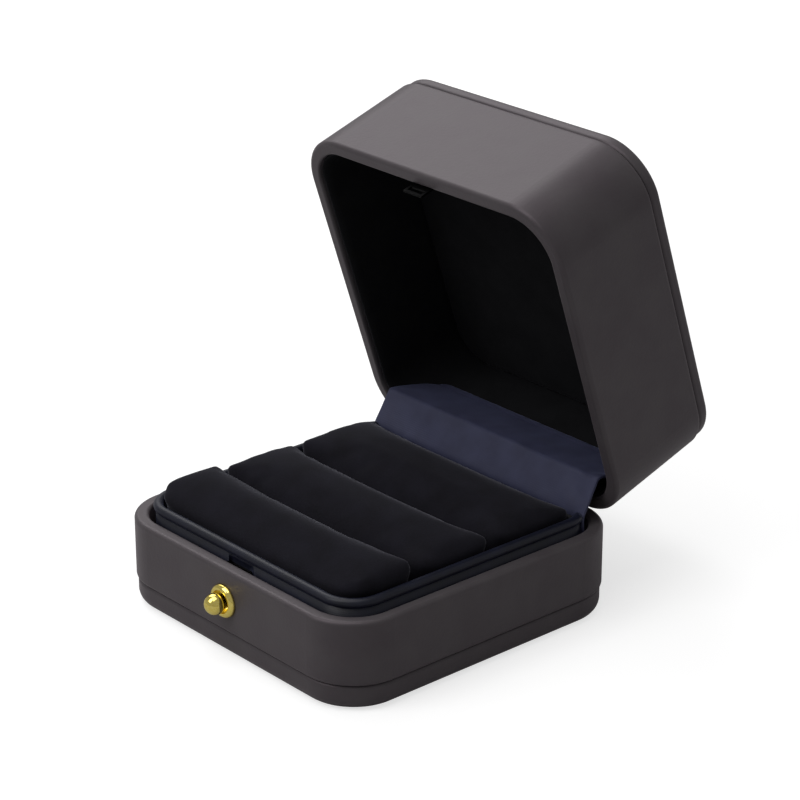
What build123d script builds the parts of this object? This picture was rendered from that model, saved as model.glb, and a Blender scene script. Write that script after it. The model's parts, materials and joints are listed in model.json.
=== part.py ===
"""A snap-shut presentation box for two rings, modelled in millimetres.

The box has a leatherette-covered base and lid, a velvet insert with two ring slots inside
a fabric-covered collar, a push button with a latch, and a steel hinge behind a fabric cover.

Frame: the origin is the centre of the underside, +Z is up, the button is at -Y and the
hinge at +Y. The lid is built as if closed, and swung open last.
"""
from build123d import *
from math import cos, hypot, radians, sin
import os

# --- Overall body ---------------------------------------------------------------------
WIDTH = 72.0                # side to side
DEPTH = 72.0                # button to hinge
CORNER_RADIUS = 11.5        # upright corners of the base and the lid
BASE_HEIGHT = 18.5          # underside to the rim of the base
LID_HEIGHT = 27.5           # rim of the lid to its top
SEAM_GAP = 0.4              # between the two rims when closed
OPEN_ANGLE = 71.5           # the lid's swing, in degrees

# --- Covered walls --------------------------------------------------------------------
SKIN = 0.6                  # leatherette on its paper backing
SHELL_WALL = 1.7            # moulded wall under the skin
SHELL_FLOOR = 1.4           # moulded floor of the base and ceiling of the lid
SHELL_EDGE_ROUND = 0.3
RIM_OUTER_ROUND = 0.9
RIM_INNER_ROUND = 0.6
GROOVE_ROUND = 0.8          # where a wall meets its plate
BASE_TURN_IN = 10.0         # how far the skin goes down inside the base
LID_TURN_IN = 7.0
TURN_OVER = 6.0             # how far the skins lap under the shell and over the boards

# --- Bottom and top plates ------------------------------------------------------------
BOTTOM_PLATE = 5.3          # height of the bottom plate
BOTTOM_INSET = 0.35
BOTTOM_ROUND = 2.6
TOP_PLATE = 2.8             # height of the top plate
TOP_INSET = 0.4
TOP_ROUND = 1.2
FILLER_GAP = 0.3            # around the card that levels the lapped skins

# --- Collar ---------------------------------------------------------------------------
COLLAR_GAP = 0.9            # between the wall and the collar
COLLAR_CARD = 1.0
COLLAR_FABRIC = 0.5
COLLAR_RISE = 2.6           # top of the collar above the rim of the base
COLLAR_SHORT = 9.5          # from the rear wall's outside to the end of its side arms
TRAY_FLOOR = 1.2
TRAY_GAP = 0.3
REAR_CARD_IN = 8.6          # from the rear wall's outside to the card behind the pads
REAR_CARD_TOP = 1.1         # that card's top above the rim of the base

# --- Pads, their heights above the rim of the base -------------------------------------
PAD_GAP = 0.3               # pad to collar
SLOT_GAP = 0.6              # between two pads
FIRST_SLOT = 22.6           # middle of the slot, from the front wall's outside
SECOND_SLOT = 41.8
FRONT_PAD_CROWN = 6.6
MIDDLE_PAD_CROWN = 5.8
REAR_PAD_CROWN = 5.6
PAD_SHOULDER = 2.9          # where a pad's outer edge starts to round in
PAD_REAR_SHOULDER = 2.2
SLOT_EDGE_DROP = 1.3        # how far the pads dip towards a slot
SLOT_EDGE_ROUND = 1.1
PAD_END_ROUND = 3.0

# --- Lid lining -----------------------------------------------------------------------
LINING = 0.5
LINING_START = 1.0          # from the lid's rim plane to the edge of the lining
CEILING_PAD = 1.6
CEILING_PAD_GAP = 0.4
CEILING_PAD_ROUND = 0.8

# --- Hinge ----------------------------------------------------------------------------
HINGE_OFFSET = 0.1          # of the axis outside the centre of the rim's rounding
PIN_RADIUS = 0.5
PIN_CLEARANCE = 0.05
KNUCKLE_RADIUS = 1.2
KNUCKLE_CLEARANCE = 0.3     # around the knuckles in the rims
KNUCKLE_LENGTH = 12.0       # each of the base's two knuckles
KNUCKLE_END_GAP = 0.2
HINGE_LENGTH = 40.0
HINGE_END_GAP = 0.8
PIN_OVERHANG = 0.4
LEAF = 0.6                  # sheet thickness
LEAF_LEG = 6.0              # of each leaf along the inside of the wall
RIVET_RADIUS = 0.6
RIVET_HEAD_RADIUS = 1.2
RIVET_HEAD = 0.35
RIVET_SPACING = 15.0
RIVET_DROP = 3.0            # rivet below the rim it holds
RIVET_BITE = 1.5            # into the moulded wall

# --- Fabric hinge cover, in the section across the hinge --------------------------------
COVER_FABRIC = 0.5
COVER_INSET = 4.6           # from the outside of the box to each end of the cover
COVER_TAIL = 6.0            # glued length behind the pads
COVER_LOWER_RISE = 1.9      # of that line above the rim of the base
CREASE_IN = 2.4             # the crease, in front of the hinge's axis
CREASE_RISE = 8.5
CREASE_ROUND = 0.7
COVER_LID_GAP = 0.3         # from the cover's upper edge to the lid's lining
COVER_LID_DEPTH = 11.6      # of that edge inside the lid's rim plane

# --- Push button and latch --------------------------------------------------------------
BUTTON_Z = 11.9
BALL_RADIUS = 2.15
BALL_PROUD = 2.2            # ball centre in front of the wall
BALL_CLEARANCE = 0.2
BUTTON_TRAVEL = 0.8
STEM_RADIUS = 0.9
STEM_CLEARANCE = 0.15
NECK_RADIUS = 1.5
NECK_LENGTH = 0.2           # behind the ball
ESCUTCHEON_RADIUS = 3.45
ESCUTCHEON_PROUD = 1.1
ESCUTCHEON_LIP = 0.2
SLEEVE_RADIUS = 2.8
SLEEVE_CLEARANCE = 0.1
CUP_DEPTH = 2.3
SPRING_BORE = 1.6
SPRING_RADIUS = 1.45
SPRING_WIRE = 0.25
SLEEVE_END = 0.5            # thickness of its inner end wall
LATCH_SHEET = 0.4
LATCH_ROOM_GAP = 0.15       # behind the latch when the button is pushed in
LATCH_HALF_WIDTH = 3.0
LATCH_TAIL = 2.6            # below the button's axis
LATCH_DROP = 0.8            # top of the latch below the rim of the base
NOSE_LENGTH = 0.45
NOSE_HEIGHT = 0.6
NOSE_LEAD = 0.3             # chamfer that the keeper slides over
NOSE_HALF_WIDTH = 1.8
LATCH_SIDE_GAP = 0.2
GUIDE_SHEET = 0.4
GUIDE_FOOT = 2.4
GUIDE_REACH = 1.8
GUIDE_DROP = 3.5            # from the rim of the base to the guides' lower end
GUIDE_HEIGHT = 2.6
CLIP_RADIUS = 1.5
CLIP_SHEET = 0.3
STEM_PAST_CLIP = 0.05
KEEPER_SHEET = 0.4
KEEPER_HALF_WIDTH = 5.0
KEEPER_START = 0.6          # from the lid's rim plane
KEEPER_LENGTH = 6.4
KEEPER_GAP = 0.2            # from the keeper to the lining's edge
TONGUE_HALF_WIDTH = 2.6
TONGUE_STEP = 0.15          # its front face behind the wall's inside
TONGUE_ROOT = 1.0           # above the keeper's edge
TONGUE_GAP = 0.1            # from its back face to the latch
TONGUE_LIP = 0.6            # the strip that the nose catches on
WINDOW_PLAY = 0.1           # under the nose
WINDOW_HEIGHT = 1.1
KEEPER_RIVET_X = 3.2
KEEPER_RIVET_RISE = 4.4     # above the keeper's edge
KEEPER_RIVET_RADIUS = 0.5

# --- Worked out from the sizes above ----------------------------------------------------
WALL = SKIN + SHELL_WALL + SKIN
COLLAR_THICKNESS = COLLAR_CARD + 2 * COLLAR_FABRIC
COLLAR_INSET = WALL + COLLAR_GAP
PAD_INSET = COLLAR_INSET + COLLAR_THICKNESS + PAD_GAP
LID_RIM = BASE_HEIGHT + SEAM_GAP
LID_PLATE_Z = LID_RIM + LID_HEIGHT - TOP_PLATE
HINGE_Y = DEPTH / 2 - RIM_OUTER_ROUND + HINGE_OFFSET
HINGE_Z = BASE_HEIGHT + SEAM_GAP / 2
BASE_FLOOR = BOTTOM_PLATE + SKIN + SHELL_FLOOR
TRAY_TOP = BASE_FLOOR + TRAY_FLOOR
LID_CEILING = LID_PLATE_Z - SKIN - SHELL_FLOOR
COLLAR_TOP = BASE_HEIGHT + COLLAR_RISE
FRONT_FACE = -DEPTH / 2
INNER_FRONT = FRONT_FACE + WALL
INNER_REAR = DEPTH / 2 - WALL
SHELL_INSET = SKIN + SHELL_WALL
COLLAR_REAR = DEPTH / 2 - COLLAR_SHORT
REAR_CARD_Y = DEPTH / 2 - REAR_CARD_IN
FIRST_SLOT_Y = FIRST_SLOT - DEPTH / 2
SECOND_SLOT_Y = SECOND_SLOT - DEPTH / 2
COVER_LOWER_Y = REAR_CARD_Y + COLLAR_CARD + COVER_FABRIC / 2
CREASE_Y = HINGE_Y - CREASE_IN
GUIDE_LOW = BASE_HEIGHT - GUIDE_DROP
LATCH_TOP = BASE_HEIGHT - LATCH_DROP
TONGUE_FRONT = INNER_FRONT + TONGUE_STEP
TONGUE_BACK = TONGUE_FRONT + KEEPER_SHEET
LATCH_FRONT = TONGUE_BACK + TONGUE_GAP
LATCH_BACK = LATCH_FRONT + LATCH_SHEET
CARD_BACK = FRONT_FACE + COLLAR_INSET + COLLAR_FABRIC + COLLAR_CARD
BALL_Y = FRONT_FACE - BALL_PROUD
NECK_Y = BALL_Y + BALL_RADIUS + NECK_LENGTH
SLEEVE_BACK = INNER_FRONT - SLEEVE_CLEARANCE
SPRING_SEAT = SLEEVE_BACK - SLEEVE_END
KEEPER_Z = LID_RIM + KEEPER_START
WINDOW_Z = LATCH_TOP - NOSE_HEIGHT - WINDOW_PLAY
OVERCUT = 1.0               # how far a cutting solid runs past the face that it opens


# --- Helpers ----------------------------------------------------------------------------
def slab(inset, low, high):
    """The body's rounded square, moved in by inset, from low to high."""
    radius = CORNER_RADIUS - inset
    face = RectangleRounded(WIDTH - 2 * inset, DEPTH - 2 * inset, radius)
    return extrude(Pos(0, 0, low) * face, high - low)


def block(x0, x1, y0, y1, z0, z1):
    """A box between two opposite corners."""
    size = (x1 - x0, y1 - y0, z1 - z0)
    return Pos((x0 + x1) / 2, (y0 + y1) / 2, (z0 + z1) / 2) * Box(*size)


def rod_x(radius, x0, x1, y, z):
    """A cylinder along X."""
    return Pos((x0 + x1) / 2, y, z) * Rot(0, 90, 0) * Cylinder(radius, x1 - x0)


def rod_y(radius, y0, y1, x, z):
    """A cylinder along Y."""
    return Pos(x, (y0 + y1) / 2, z) * Rot(90, 0, 0) * Cylinder(radius, y1 - y0)


def inset_of(point):
    """How far a point lies inside the body's outer wall."""
    x = abs(point.X) - (WIDTH / 2 - CORNER_RADIUS)
    y = abs(point.Y) - (DEPTH / 2 - CORNER_RADIUS)
    if x > 0 and y > 0:
        return CORNER_RADIUS - hypot(x, y)
    return CORNER_RADIUS - max(x, y)


def edges_at(solid, z, inset=None):
    """The edges that lie in the plane z, and at one inset if it is given."""
    found = solid.edges().filter_by(lambda e: abs(e.bounding_box().min.Z - z) < 1e-4
                                    and abs(e.bounding_box().max.Z - z) < 1e-4)
    if inset is None:
        return found
    return found.filter_by(lambda e: abs(inset_of(e.position_at(0.5)) - inset) < 1e-3)


def open_lid(solid):
    """Swing a solid of the closed lid to its open place."""
    there = Pos(0, HINGE_Y, HINGE_Z)
    back = Pos(0, -HINGE_Y, -HINGE_Z)
    return there * Rot(-OPEN_ANGLE, 0, 0) * back * solid


def open_point(y, z):
    """The place, in the open lid, of a point of the closed lid's section."""
    a = radians(OPEN_ANGLE)
    dy, dz = y - HINGE_Y, z - HINGE_Z
    return (HINGE_Y + dy * cos(a) + dz * sin(a), HINGE_Z - dy * sin(a) + dz * cos(a))


def upside_down(solid, z):
    """Turn a solid that stands on Z = 0 over, so that it hangs from z."""
    return Pos(0, 0, z) * mirror(solid, Plane.XY)


# --- Covered tubs and plates --------------------------------------------------------------
def tub_shell(height):
    """The moulded tub, standing on the skin's turned-over edge at Z = 0."""
    ring = slab(SKIN, SKIN, height - SKIN) - slab(SHELL_INSET, SKIN + SHELL_FLOOR, height)
    return fillet(edges_at(ring, height - SKIN), SHELL_EDGE_ROUND)


def tub_wrap(height, turn_in):
    """The skin over the tub: its outside, its rim, and its turned-in edges."""
    skin = slab(0, 0, height) - slab(WALL, SKIN, height + OVERCUT)
    skin = fillet(edges_at(skin, height, 0), RIM_OUTER_ROUND)
    skin = fillet(edges_at(skin, height, WALL), RIM_INNER_ROUND)
    skin = fillet(edges_at(skin, 0, 0), GROOVE_ROUND)
    skin -= slab(TURN_OVER, -OVERCUT, SKIN)
    skin -= slab(SHELL_INSET, SKIN, height - turn_in)
    return skin - tub_shell(height)


def plate_board(height, inset):
    """The board inside a plate whose outer face is at Z = 0."""
    return slab(inset + SKIN, SKIN, height - SKIN)


def plate_wrap(height, inset, face_round):
    """The skin round a board, lapped over its inner side."""
    skin = slab(inset, 0, height)
    skin = fillet(edges_at(skin, 0), face_round)
    skin = fillet(edges_at(skin, height), GROOVE_ROUND)
    skin -= slab(inset + TURN_OVER, height - SKIN, height + OVERCUT)
    board = fillet(edges_at(plate_board(height, inset), SKIN), face_round - SKIN)
    return skin - board, board


def plate_filler(height, inset):
    """The card between a board and a tub, inside the lapped skins."""
    return slab(inset + TURN_OVER + FILLER_GAP, height - SKIN, height + SKIN)


# --- Base ---------------------------------------------------------------------------------
def hinge_room(low, high):
    """What both rims give up to the hinge: the knuckles' bore and the leaf's seat."""
    half = HINGE_LENGTH / 2 + HINGE_END_GAP
    bore = rod_x(KNUCKLE_RADIUS + KNUCKLE_CLEARANCE, -half, half, HINGE_Y, HINGE_Z)
    half_leaf = HINGE_LENGTH / 2
    seat = block(-half_leaf, half_leaf, INNER_REAR - OVERCUT, HINGE_Y, low, high)
    return bore + seat


def rivet_holes(z):
    """The holes that a hinge leaf's rivets fill."""
    end = INNER_REAR + RIVET_BITE
    rods = [rod_y(RIVET_RADIUS, INNER_REAR - LEAF - OVERCUT, end, x, z) for x in rivet_places()]
    return Compound(children=rods)


def rivet_places():
    return (-RIVET_SPACING, 0.0, RIVET_SPACING)


def button_bore():
    radius = SLEEVE_RADIUS + SLEEVE_CLEARANCE
    return rod_y(radius, FRONT_FACE - OVERCUT, INNER_FRONT + OVERCUT, 0, BUTTON_Z)


def cut_all(solid, *cutters):
    """Take several solids away, one after the other."""
    for cutter in cutters:
        for piece in cutter.solids():
            solid = solid - piece
    return solid


def base_cuts():
    rivets = rivet_holes(BASE_HEIGHT - RIVET_DROP)
    return hinge_room(BASE_HEIGHT - LEAF, BASE_HEIGHT + OVERCUT), rivets, button_bore()


def base_shell():
    shell = Pos(0, 0, BOTTOM_PLATE) * tub_shell(BASE_HEIGHT - BOTTOM_PLATE)
    return cut_all(shell, *base_cuts())


def base_wrap():
    wrap = Pos(0, 0, BOTTOM_PLATE) * tub_wrap(BASE_HEIGHT - BOTTOM_PLATE, BASE_TURN_IN)
    return cut_all(wrap, *base_cuts())


# --- Insert -------------------------------------------------------------------------------
def insert_tray():
    inset = WALL + TRAY_GAP
    tray = slab(inset, BASE_FLOOR, TRAY_TOP)
    return tray


def arms_only(solid):
    """Keep the front and the side arms of a ring."""
    reach = WIDTH
    return solid & block(-reach, reach, -reach, COLLAR_REAR, 0, BASE_HEIGHT * 2)


def latch_room():
    """The space behind the wall that the latch and its guides move in."""
    top = LATCH_TOP + LATCH_SIDE_GAP
    side = LATCH_HALF_WIDTH + LATCH_SIDE_GAP
    back = LATCH_BACK + BUTTON_TRAVEL + LATCH_ROOM_GAP
    latch = block(-side, side, INNER_FRONT, back, TRAY_TOP, top)
    wide = side + GUIDE_FOOT + LATCH_SIDE_GAP
    guide_back = INNER_FRONT + GUIDE_REACH + LATCH_ROOM_GAP
    guides = block(-wide, wide, INNER_FRONT, guide_back, TRAY_TOP, top)
    clip_side = CLIP_RADIUS + LATCH_SIDE_GAP
    clip = block(-clip_side, clip_side, INNER_FRONT, CARD_BACK,
                 BUTTON_Z - clip_side, BUTTON_Z + clip_side)
    return latch + guides + clip


def collar_frame():
    inset = COLLAR_INSET + COLLAR_FABRIC
    top = COLLAR_TOP - COLLAR_FABRIC
    ring = slab(inset, TRAY_TOP, top) - slab(inset + COLLAR_CARD, 0, top + OVERCUT)
    ring = fillet(edges_at(ring, top), COLLAR_CARD / 2 - PIN_CLEARANCE)
    half = WIDTH / 2 - inset
    side = block(-half, half, REAR_CARD_Y, REAR_CARD_Y + COLLAR_CARD, TRAY_TOP,
                 BASE_HEIGHT + REAR_CARD_TOP)
    sill = slab(inset, TRAY_TOP, BASE_HEIGHT + REAR_CARD_TOP)
    foot_top = TRAY_TOP + COLLAR_CARD
    foot = slab(inset, TRAY_TOP, foot_top) - slab(inset + COLLAR_CARD, 0, foot_top + OVERCUT)
    foot = foot & block(-half, half, 0, REAR_CARD_Y + COLLAR_CARD, 0, foot_top)
    return arms_only(ring) - latch_room() + (side & sill) + foot


def collar_wrap():
    top = COLLAR_TOP
    inner = COLLAR_INSET + COLLAR_THICKNESS
    bottom = TRAY_TOP + COLLAR_CARD
    ring = slab(COLLAR_INSET, bottom, top) - slab(inner, 0, top + OVERCUT)
    ring = fillet(edges_at(ring, top), COLLAR_THICKNESS / 2 - PIN_CLEARANCE)
    inset = COLLAR_INSET + COLLAR_FABRIC
    card_top = top - COLLAR_FABRIC
    card = slab(inset, 0, card_top) - slab(inset + COLLAR_CARD, -OVERCUT, card_top + OVERCUT)
    card = fillet(edges_at(card, card_top), COLLAR_CARD / 2 - PIN_CLEARANCE)
    return arms_only(ring - card) - latch_room()


def pad_section(y0, y1, crown, front_drop, front_round, rear_drop, rear_round):
    """A pad's section across the slots: a crowned top over upright sides."""
    top = BASE_HEIGHT + crown
    middle = (y0 + y1) / 2
    start = (y0, top - front_drop)
    end = (y1, top - rear_drop)
    crown_arc = ThreePointArc(start, (middle, top), end)
    sides = Polyline(end, (y1, TRAY_TOP), (y0, TRAY_TOP), start)
    face = make_face(Plane.YZ * (crown_arc + sides))
    return face, ((y0, start[1], front_round), (y1, end[1], rear_round))


def pad(y0, y1, crown, front_drop, front_round, rear_drop, rear_round):
    """A velvet pad: crowned between the slots and rounded at its outer ends."""
    args = (y0, y1, crown, front_drop, front_round, rear_drop, rear_round)
    face, shoulders = pad_section(*args)
    half = WIDTH / 2 - PAD_INSET
    bar = extrude(face, half, both=True)
    for y, z, radius in shoulders:
        edges = bar.edges().filter_by(Axis.X).filter_by(
            lambda e: abs(e.center().Y - y) < 1e-3 and abs(e.center().Z - z) < 1e-3)
        bar = fillet(edges, radius)
    ends = block(-half, half, y0 - OVERCUT, y1 + OVERCUT, 0, BASE_HEIGHT + crown)
    top_edges = ends.edges().filter_by(Axis.Y).group_by(Axis.Z)[-1]
    bar = bar & fillet(top_edges, PAD_END_ROUND)
    return bar & slab(PAD_INSET, 0, BASE_HEIGHT * 2)


def front_pad():
    start = FRONT_FACE + PAD_INSET
    return pad(start, FIRST_SLOT_Y - SLOT_GAP / 2, FRONT_PAD_CROWN,
               FRONT_PAD_CROWN - PAD_SHOULDER - SLOT_EDGE_DROP, PAD_END_ROUND,
               SLOT_EDGE_DROP, SLOT_EDGE_ROUND)


def middle_pad():
    return pad(FIRST_SLOT_Y + SLOT_GAP / 2, SECOND_SLOT_Y - SLOT_GAP / 2, MIDDLE_PAD_CROWN,
               SLOT_EDGE_DROP, SLOT_EDGE_ROUND, SLOT_EDGE_DROP, SLOT_EDGE_ROUND)


def rear_pad():
    return pad(SECOND_SLOT_Y + SLOT_GAP / 2, REAR_CARD_Y - PAD_GAP, REAR_PAD_CROWN,
               SLOT_EDGE_DROP, SLOT_EDGE_ROUND,
               REAR_PAD_CROWN - PAD_REAR_SHOULDER - SLOT_EDGE_DROP, PAD_END_ROUND)


# --- Hinge --------------------------------------------------------------------------------
def knuckle(x0, x1):
    tube = rod_x(KNUCKLE_RADIUS, x0, x1, HINGE_Y, HINGE_Z)
    return tube - rod_x(PIN_RADIUS + PIN_CLEARANCE, x0 - OVERCUT, x1 + OVERCUT, HINGE_Y, HINGE_Z)


def leaf(seat_low, leg_low, leg_high, rivet_z, spans):
    """A bent leaf: a tongue to each knuckle, a seat on the rim, and a leg down the wall."""
    half = HINGE_LENGTH / 2
    stop = HINGE_Y - KNUCKLE_RADIUS - KNUCKLE_CLEARANCE
    inner = INNER_REAR - LEAF
    sheet = block(-half, half, inner, stop, seat_low, seat_low + LEAF)
    sheet += block(-half, half, inner, INNER_REAR, leg_low, leg_high)
    for x0, x1 in spans:
        root = HINGE_Y - KNUCKLE_RADIUS * 0.7
        sheet += block(x0, x1, stop, root, seat_low, seat_low + LEAF)
        sheet += knuckle(x0, x1)
    bore = rod_x(PIN_RADIUS + PIN_CLEARANCE, -half - OVERCUT, half + OVERCUT, HINGE_Y, HINGE_Z)
    return cut_all(sheet, bore, rivet_holes(rivet_z))


def rivets(z):
    """One leaf's rivets, each a shank with a low domed head."""
    seat = INNER_REAR - LEAF
    group = []
    for x in rivet_places():
        head = rod_y(RIVET_HEAD_RADIUS, seat - RIVET_HEAD, seat, x, z)
        rim = head.edges().group_by(Axis.Y)[0]
        shank = rod_y(RIVET_RADIUS, seat, INNER_REAR + RIVET_BITE, x, z)
        group.append(fillet(rim, RIVET_HEAD * 0.7) + shank)
    return Compound(children=group)


def base_knuckle_spans():
    half = HINGE_LENGTH / 2
    return (-half, KNUCKLE_LENGTH - half), (half - KNUCKLE_LENGTH, half)


def lid_knuckle_spans():
    edge = HINGE_LENGTH / 2 - KNUCKLE_LENGTH - KNUCKLE_END_GAP
    return ((-edge, edge),)


def hinge_base_leaf():
    low = BASE_HEIGHT - LEAF
    return leaf(low, low - LEAF_LEG, BASE_HEIGHT, BASE_HEIGHT - RIVET_DROP,
                base_knuckle_spans())


def hinge_lid_leaf():
    return leaf(LID_RIM, LID_RIM, LID_RIM + LEAF + LEAF_LEG, LID_RIM + RIVET_DROP,
                lid_knuckle_spans())


def hinge_pin():
    half = HINGE_LENGTH / 2 + PIN_OVERHANG
    return rod_x(PIN_RADIUS, -half, half, HINGE_Y, HINGE_Z)


def hinge_cover():
    """The folded fabric strip, from behind the pads to the lid's rear wall, lid open."""
    foot = (COVER_LOWER_Y, BASE_HEIGHT + COVER_LOWER_RISE)
    tail = (COVER_LOWER_Y, foot[1] - COVER_TAIL)
    crease = (CREASE_Y, BASE_HEIGHT + CREASE_RISE)
    edge_y = INNER_REAR - LINING - COVER_LID_GAP - COVER_FABRIC / 2
    edge = open_point(edge_y, LID_RIM + COVER_LID_DEPTH)
    path = FilletPolyline(tail, foot, crease, edge, radius=CREASE_ROUND)
    section = Plane.YZ * trace(path, COVER_FABRIC)
    strip = extrude(section, WIDTH / 2 - COVER_INSET, dir=(1, 0, 0), both=True)
    gap = WALL + LINING + COVER_LID_GAP
    lid_wall = slab(-WALL, LID_RIM, LID_PLATE_Z) - slab(gap, 0, LID_PLATE_Z + OVERCUT)
    return strip - open_lid(lid_wall)


# --- Push button and latch ------------------------------------------------------------------
def escutcheon():
    """The flanged sleeve that the button slides in, with a domed face."""
    mouth = BALL_RADIUS + BALL_CLEARANCE
    face = FRONT_FACE - ESCUTCHEON_PROUD
    cup = face + CUP_DEPTH
    rim = (mouth + ESCUTCHEON_LIP, face)
    edge = (ESCUTCHEON_RADIUS, FRONT_FACE - ESCUTCHEON_LIP)
    bulge = ((rim[0] + edge[0]) / 2 + ESCUTCHEON_LIP, (rim[1] + edge[1]) / 2 - ESCUTCHEON_LIP)
    stem = STEM_RADIUS + STEM_CLEARANCE
    outline = Polyline(edge, (ESCUTCHEON_RADIUS, FRONT_FACE), (SLEEVE_RADIUS, FRONT_FACE),
                       (SLEEVE_RADIUS, SLEEVE_BACK), (stem, SLEEVE_BACK), (stem, SPRING_SEAT),
                       (SPRING_BORE, SPRING_SEAT), (SPRING_BORE, cup), (mouth, cup),
                       (mouth, face), rim)
    profile = make_face(outline + ThreePointArc(rim, bulge, edge))
    return Pos(0, 0, BUTTON_Z) * revolve(profile, Axis.Y)


def button_spring():
    front = NECK_Y + PIN_CLEARANCE
    tube = rod_y(SPRING_RADIUS, front, SPRING_SEAT, 0, BUTTON_Z)
    bore = SPRING_RADIUS - SPRING_WIRE
    return tube - rod_y(bore, front - OVERCUT, SPRING_SEAT + OVERCUT, 0, BUTTON_Z)


def button_knob():
    ball = Pos(0, BALL_Y, BUTTON_Z) * Sphere(BALL_RADIUS)
    neck = rod_y(NECK_RADIUS, BALL_Y, NECK_Y, 0, BUTTON_Z)
    end = LATCH_BACK + CLIP_SHEET + STEM_PAST_CLIP
    return ball + neck + rod_y(STEM_RADIUS, BALL_Y, end, 0, BUTTON_Z)


def latch_plate():
    """The sheet that the stem carries, with the nose that holds the lid at its top."""
    side = LATCH_HALF_WIDTH
    sheet = block(-side, side, LATCH_FRONT, LATCH_BACK, BUTTON_Z - LATCH_TAIL, LATCH_TOP)
    nose = block(-NOSE_HALF_WIDTH, NOSE_HALF_WIDTH, LATCH_FRONT - NOSE_LENGTH, LATCH_FRONT,
                 LATCH_TOP - NOSE_HEIGHT, LATCH_TOP)
    lead = nose.edges().filter_by(Axis.X).group_by(Axis.Y)[0].group_by(Axis.Z)[-1]
    nose = chamfer(lead, NOSE_LEAD)
    hole = rod_y(STEM_RADIUS, LATCH_FRONT - OVERCUT, LATCH_BACK + OVERCUT, 0, BUTTON_Z)
    return sheet + nose - hole


def stem_clip():
    ring = rod_y(CLIP_RADIUS, LATCH_BACK, LATCH_BACK + CLIP_SHEET, 0, BUTTON_Z)
    return ring - rod_y(STEM_RADIUS, LATCH_BACK - OVERCUT, LATCH_BACK + OVERCUT, 0, BUTTON_Z)


def latch_guides():
    """Two angle pieces on the wall, one at each side of the latch plate."""
    near = LATCH_HALF_WIDTH + LATCH_SIDE_GAP
    high = GUIDE_LOW + GUIDE_HEIGHT
    foot = block(near, near + GUIDE_FOOT, INNER_FRONT, INNER_FRONT + GUIDE_SHEET, GUIDE_LOW, high)
    rail = block(near, near + GUIDE_SHEET, INNER_FRONT, INNER_FRONT + GUIDE_REACH, GUIDE_LOW, high)
    right = foot + rail
    return Compound(children=[right, mirror(right, Plane.YZ)])


# --- Lid, as if closed ------------------------------------------------------------------------
def keeper_rivet_rods(radius, front, back):
    z = KEEPER_Z + KEEPER_RIVET_RISE
    rods = [rod_y(radius, front, back, x, z) for x in (-KEEPER_RIVET_X, KEEPER_RIVET_X)]
    return Compound(children=rods)


def keeper_bores():
    front = INNER_FRONT - SKIN - SHELL_WALL / 2
    return keeper_rivet_rods(KEEPER_RIVET_RADIUS, front, INNER_FRONT + OVERCUT)


def lid_cuts():
    room = hinge_room(LID_RIM - OVERCUT, LID_RIM + LEAF)
    return room, rivet_holes(LID_RIM + RIVET_DROP), keeper_bores()


def lid_shell():
    shell = upside_down(tub_shell(LID_PLATE_Z - LID_RIM), LID_PLATE_Z)
    return cut_all(shell, *lid_cuts())


def lid_wrap():
    wrap = upside_down(tub_wrap(LID_PLATE_Z - LID_RIM, LID_TURN_IN), LID_PLATE_Z)
    return cut_all(wrap, *lid_cuts())


def lid_wall_lining():
    """The black lining of the lid's walls, cut away for the hinge and the latch."""
    low = LID_RIM + LINING_START
    ring = slab(WALL, low, LID_CEILING) - slab(WALL + LINING, 0, LID_CEILING + OVERCUT)
    half = HINGE_LENGTH / 2 + HINGE_END_GAP
    leg_top = LID_RIM + LEAF + LEAF_LEG + HINGE_END_GAP
    ring -= block(-half, half, 0, DEPTH, 0, leg_top)
    side = KEEPER_HALF_WIDTH + KEEPER_GAP
    ring -= block(-side, side, -DEPTH, 0, 0, KEEPER_Z + KEEPER_LENGTH + KEEPER_GAP)
    return ring


def lid_ceiling_pad():
    inset = WALL + LINING + CEILING_PAD_GAP
    panel = slab(inset, LID_CEILING - CEILING_PAD, LID_CEILING)
    return fillet(edges_at(panel, LID_CEILING - CEILING_PAD), CEILING_PAD_ROUND)


def lid_keeper():
    """The plate on the lid's front wall, whose tongue has the window that the nose enters."""
    side = KEEPER_HALF_WIDTH
    plate = block(-side, side, INNER_FRONT, INNER_FRONT + KEEPER_SHEET,
                  KEEPER_Z, KEEPER_Z + KEEPER_LENGTH)
    tongue = block(-TONGUE_HALF_WIDTH, TONGUE_HALF_WIDTH, TONGUE_FRONT, TONGUE_BACK,
                   WINDOW_Z - TONGUE_LIP, KEEPER_Z + TONGUE_ROOT)
    opening = NOSE_HALF_WIDTH + LATCH_SIDE_GAP
    window = block(-opening, opening, INNER_FRONT, LATCH_FRONT, WINDOW_Z,
                   WINDOW_Z + WINDOW_HEIGHT)
    return cut_all(plate + tongue, window, keeper_bores())


def keeper_rivets():
    front = INNER_FRONT - SKIN - SHELL_WALL / 2
    return keeper_rivet_rods(KEEPER_RIVET_RADIUS, front, INNER_FRONT + KEEPER_SHEET)


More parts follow.
